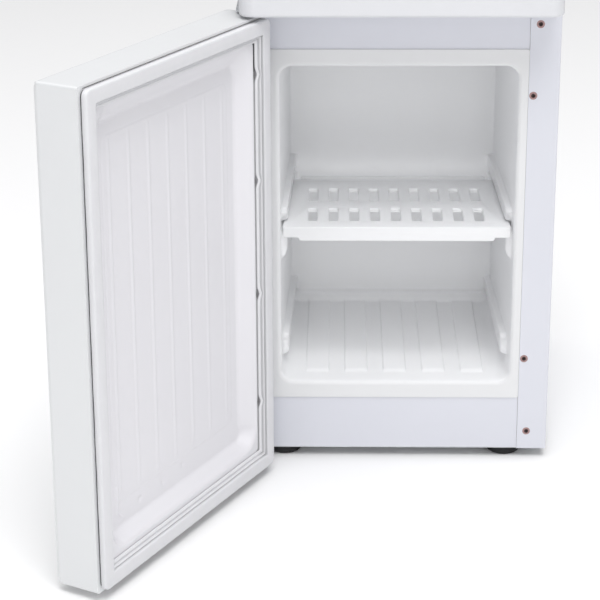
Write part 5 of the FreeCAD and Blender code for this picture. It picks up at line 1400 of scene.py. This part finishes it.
class FRIDGE_OT_casing(bpy.types.Operator):
    """Folded side panels, front rails and the sheets behind them"""
    bl_idname = "fridge.casing"
    bl_label = "Casing"

    def execute(self, context):
        for node, name, sign in (("side_panel_right", "side_sheet_right", 1), ("side_panel_left", "side_sheet_left", -1)):
            shape = extruded(folded_side(sign), "Z", CASE_LOW, CASE_TOP, 0.35)
            obj = recalculated(mesh_object(name, *shape))
            dress(flat_faced(obj), "casing_white", "cabinet", nodes=[node], smooth_angle=None)
        for node, name in (("front_top_rail", "front_rail_upper"), ("front_bottom_rail", "front_rail_lower")):
            dress(widened(softened(node, name, 0.15)), "casing_white", "cabinet", nodes=[node], smooth_angle=None)
        for node, name in (("bottom_hinge_bracket", "hinge_leaf_lower"), ("top_hinge_bracket", "hinge_leaf_upper"),
                           ("base_pan", "base_sheet")):
            dress(softened(node, name, 0.3), "zinc_steel", "cabinet", nodes=[node], smooth_angle=None)
        return {"FINISHED"}


class FRIDGE_OT_top(bpy.types.Operator):
    """Moulded tray and worktop over the casing"""
    bl_idname = "fridge.top"
    bl_label = "Top mouldings"

    def execute(self, context):
        dress(softened("top_fascia", "top_tray", 0.5), "trim_white", "cabinet", nodes=["top_fascia"], smooth_angle=None)
        dress(softened("worktop", "worktop_moulding", 0.6), "trim_white", "cabinet", nodes=["worktop"], smooth_angle=None)
        return {"FINISHED"}


FOOT_SPREAD = 1.18
FOOT_SECTION = ((12.6, 0.15), (13.7, 0.9), (14.4, 2.0), (14.8, 3.2), (14.95, 4.4), (14.9, 5.4), (14.5, 6.1),
                (14.45, 6.6), (14.6, 7.2), (14.4, 8.6), (14.1, 9.6), (13.7, 9.98))


class FRIDGE_OT_feet(bpy.types.Operator):
    """Domed rubber feet with a tread ring and a groove under the flange"""
    bl_idname = "fridge.feet"
    bl_label = "Feet"

    def execute(self, context):
        for node, name in (("front_feet", "feet_front"), ("rear_feet", "feet_rear")):
            shapes = []
            for low, high in centres_of(node):
                centre = (low + high) / 2
                recess = [(2.2, 4.9), (5.9, 4.9), (6.4, 4.5), (6.5, 0.6), (7.0, 0.05)]
                tread = [(8.4, 0.0), (8.8, 0.5), (9.4, 0.5), (9.8, 0.0), (11.6, 0.0)]
                profile = recess + tread + list(FOOT_SECTION) + [(2.2, 9.98)]
                profile = [(radius * FOOT_SPREAD, height) for radius, height in profile]
                angles = len(profile)
                points, faces = lathe(profile, (centre[0], centre[1], 0.0), 56)
                faces = ring_faces(angles, 56, closed_across=True)
                shapes.append((points, faces))
            obj = recalculated(mesh_object(name, *merged(shapes)))
            dress(obj, "foot_rubber", "cabinet", nodes=[node], smooth_angle=50.0)
        return {"FINISHED"}


# ---------------------------------------------------------------- rear
LOUVRE_LENGTH = 84.0
LOUVRE_WIDTH = 5.0
LOUVRE_PITCH = 15.0
LOUVRE_ROWS = 14
LOUVRE_MIDDLE = 60.0
LOUVRE_LOW = 184.0


class FRIDGE_OT_rear(bpy.types.Operator):
    """Rear cover with pressed rims round its air slots, and the cord gland"""
    bl_idname = "fridge.rear"
    bl_label = "Rear cover"

    def execute(self, context):
        cover = softened("rear_cover", "rear_sheet", 0.25)
        dress(cover, "rear_grey", "cabinet", nodes=["rear_cover"], smooth_angle=None)
        places = [(side * LOUVRE_MIDDLE, BACK + 0.2, LOUVRE_LOW + LOUVRE_WIDTH / 2 + row * LOUVRE_PITCH)
                  for side in (-1, 1) for row in range(LOUVRE_ROWS)]
        frames = tree("frames", frame_tree)
        rims = frames.run("slot_rims", places, [(0, 1, 0)] * len(places), "rear_grey",
                          Width=(LOUVRE_LENGTH + 1.4) * MM, Length=(LOUVRE_WIDTH + 1.4) * MM,
                          Corner=3.1 * MM, Section_width=1.3 * MM, Section_height=1.4 * MM)
        dress(recalculated(rims), "rear_grey", "cabinet", smooth_angle=50.0)
        gland = softened("cord_gland", "cord_bush", 0.5)
        dress(gland, "black_plastic", "cabinet", nodes=["cord_gland"], smooth_angle=None)
        return {"FINISHED"}


class FRIDGE_OT_knob(bpy.types.Operator):
    """Thermostat knob with a ribbed edge and pointer, and the marks of its dial"""
    bl_idname = "fridge.knob"
    bl_label = "Thermostat knob"

    def execute(self, context):
        cx, cz = (KNOB_LOW[0] + KNOB_HIGH[0]) / 2, (KNOB_LOW[2] + KNOB_HIGH[2]) / 2
        base = BACK + 1.4
        profile = [(2.9, -13.0), (2.9, 0.2), (12.3, 0.0), (12.9, 0.5), (12.95, 2.6), (12.4, 3.6), (11.2, 4.1),
                   (10.3, 4.6), (10.1, 6.0), (10.0, 10.2), (9.5, 11.4), (8.3, 11.95), (5.6, 11.7)]
        body = mesh_object("knob_body", *lathe(profile, (cx, base, cz), 72, "Y"))
        angles = np.linspace(0, 2 * math.pi, 30, endpoint=False)
        around = [(cx + 9.9 * math.cos(a), base + 7.6, cz + 9.9 * math.sin(a)) for a in angles]
        bars = tree("bars", stud_tree)
        ribs = bars.run("knob_ribs", around, [(0, 1, 0)] * len(around), "knob_plastic",
                        Radius=0.55 * MM, Length=5.4 * MM)
        knob = joined("knob_turned", [recalculated(body), ribs])
        dress(knob, "knob_plastic", "thermostat_knob", nodes=["thermostat_knob"], smooth_angle=35.0)
        pointer = rounded_outline([(cx - 1.0, cz + 1.5), (cx + 1.0, cz + 1.5), (cx + 0.7, cz + 8.7), (cx - 0.7, cz + 8.7)],
                                  [0.5, 0.5, 0.5, 0.5])
        shape = extruded(pointer, "Y", base + 11.0, base + 12.8, 0.3)
        dress(recalculated(mesh_object("knob_pointer", *shape)), "mark_white", "thermostat_knob")
        sweep = np.radians(np.linspace(-45.0, 225.0, 10))
        marks = [(cx + 17.0 * math.cos(a), BACK + 0.05, cz + 17.0 * math.sin(a)) for a in sweep]
        directions = [(math.cos(a), 0.0, math.sin(a)) for a in sweep]
        dial = bars.run("dial_marks", marks, directions, "black_plastic", Radius=0.4 * MM, Length=3.4 * MM)
        dress(dial, "black_plastic", "cabinet", smooth_angle=50.0)
        return {"FINISHED"}


# ---------------------------------------------------------------- cooling parts and carried-over nodes
class FRIDGE_OT_machinery(bpy.types.Operator):
    """Compressor bay pieces with rounded edges"""
    bl_idname = "fridge.machinery"
    bl_label = "Compressor bay"

    def execute(self, context):
        for node, name, finish, width in (("compressor_shell", "compressor_can", "black_enamel", 0.8),
                                          ("terminal_cover", "terminal_box", "black_plastic", 1.0),
                                          ("compressor_base_plate", "compressor_foot", "black_enamel", 0.4),
                                          ("thermostat_body", "thermostat_case", "black_plastic", 0.5),
                                          ("terminal_block", "terminal_strip", "black_plastic", 0.6)):
            dress(softened(node, name, width), finish, "cabinet", nodes=[node], smooth_angle=None)
        return {"FINISHED"}


class FRIDGE_OT_node_finishes(bpy.types.Operator):
    """Finishes for the frame's own nodes"""
    bl_idname = "fridge.node_finishes"
    bl_label = "Node finishes"

    def execute(self, context):
        slots = {row["node"]: row["material_slot"] for row in frame["record"]["subparts"]}
        for node, obj in frame["nodes"].items():
            finish = finishes[slots[node]]
            for index in range(len(obj.material_slots)):
                obj.material_slots[index].material = finish
            if not obj.material_slots:
                obj.data.materials.append(finish)
        return {"FINISHED"}


# ---------------------------------------------------------------- studio
CAMERA_PLACE = (-0.05965, -2.00077, 0.88010)
CAMERA_PITCH = 19.003
CAMERA_YAW = -1.134
CAMERA_ROLL = 0.259
CAMERA_LENS = 117.63
CAMERA_SHIFT = -0.12


class FRIDGE_OT_studio(bpy.types.Operator):
    """Pale floor, even surround, soft key light and the camera"""
    bl_idname = "fridge.studio"
    bl_label = "Studio"

    def execute(self, context):
        style = look()
        scene = context.scene
        floor = mesh_object("studio_floor", [(-9000, -9000, 0), (9000, -9000, 0), (9000, 9000, 0), (-9000, 9000, 0)],
                            [(0, 1, 2, 3)])
        floor.data.materials.append(floor_paint("studio_floor_paint", tuple(style.floor)))
        world = bpy.data.worlds.new("surround")
        world.use_nodes = True
        background = world.node_tree.nodes["Background"]
        background.inputs["Color"].default_value = (0.985, 0.985, 1.0, 1.0)
        background.inputs["Strength"].default_value = style.world
        scene.world = world
        for name, place, power, side in (("key", (0.25, -1.75, 2.75), style.key, 1.3),
                                         ("overhead", (0.0, -0.3, 5.0), style.overhead, 5.0),
                                         ("fill", (-0.06, -3.0, 1.0), style.fill, 1.2)):
            data = bpy.data.lights.new(name, "AREA")
            data.energy = power
            data.size = side
            lamp = bpy.data.objects.new(name, data)
            lamp.location = place
            aim = Vector((0.0, -0.1, 0.2)) - Vector(place)
            lamp.rotation_euler = aim.to_track_quat("-Z", "Y").to_euler()
            scene.collection.objects.link(lamp)
        scene.view_settings.view_transform = "Standard"
        data = bpy.data.cameras.new("camera")
        data.sensor_width = 36.0
        data.lens = CAMERA_LENS
        data.shift_y = CAMERA_SHIFT
        data.clip_start, data.clip_end = 0.05, 60.0
        camera = bpy.data.objects.new("camera", data)
        pitch, yaw, roll = (math.radians(v) for v in (CAMERA_PITCH, CAMERA_YAW, CAMERA_ROLL))
        ahead = Vector((math.sin(yaw) * math.cos(pitch), math.cos(yaw) * math.cos(pitch), -math.sin(pitch)))
        across = Vector((math.cos(yaw), -math.sin(yaw), 0.0))
        down = ahead.cross(across)
        right = across * math.cos(roll) + down * math.sin(roll)
        lower = down * math.cos(roll) - across * math.sin(roll)
        camera.matrix_world = Matrix((
            (right.x, -lower.x, -ahead.x, CAMERA_PLACE[0]), (right.y, -lower.y, -ahead.y, CAMERA_PLACE[1]),
            (right.z, -lower.z, -ahead.z, CAMERA_PLACE[2]), (0, 0, 0, 1)))
        scene.collection.objects.link(camera)
        scene.camera = camera
        return {"FINISHED"}


OPERATORS = (FRIDGE_OT_node_finishes, FRIDGE_OT_casing, FRIDGE_OT_liner, FRIDGE_OT_shelf, FRIDGE_OT_top,
             FRIDGE_OT_door_skin, FRIDGE_OT_door_liner, FRIDGE_OT_seal, FRIDGE_OT_feet, FRIDGE_OT_screws,
             FRIDGE_OT_rear, FRIDGE_OT_knob, FRIDGE_OT_machinery, FRIDGE_OT_studio)


class FRIDGE_PT_panel(bpy.types.Panel):
    """Lists the refrigerator's pieces"""
    bl_label = "Refrigerator"
    bl_idname = "FRIDGE_PT_panel"
    bl_space_type = "VIEW_3D"
    bl_region_type = "UI"
    bl_category = "Refrigerator"

    def draw(self, context):
        column = self.layout.column()
        for operator in OPERATORS:
            column.operator(operator.bl_idname)
        for group in (context.scene.fridge_sizes, context.scene.fridge_look):
            for key in group.bl_rna.properties.keys():
                if key not in ("rna_type", "name"):
                    column.prop(group, key)


CLASSES = (FridgeSizes, FridgeLook) + OPERATORS + (FRIDGE_PT_panel,)


def register():
    for cls in CLASSES:
        bpy.utils.register_class(cls)
    bpy.types.Scene.fridge_sizes = PointerProperty(type=FridgeSizes)
    bpy.types.Scene.fridge_look = PointerProperty(type=FridgeLook)


def unregister():
    del bpy.types.Scene.fridge_look
    del bpy.types.Scene.fridge_sizes
    for cls in reversed(CLASSES):
        bpy.utils.unregister_class(cls)


def main():
    register()
    make_finishes()
    for operator in OPERATORS:
        module, name = operator.bl_idname.split(".")
        getattr(getattr(bpy.ops, module), name)()


if __name__ == "__main__":
    main()
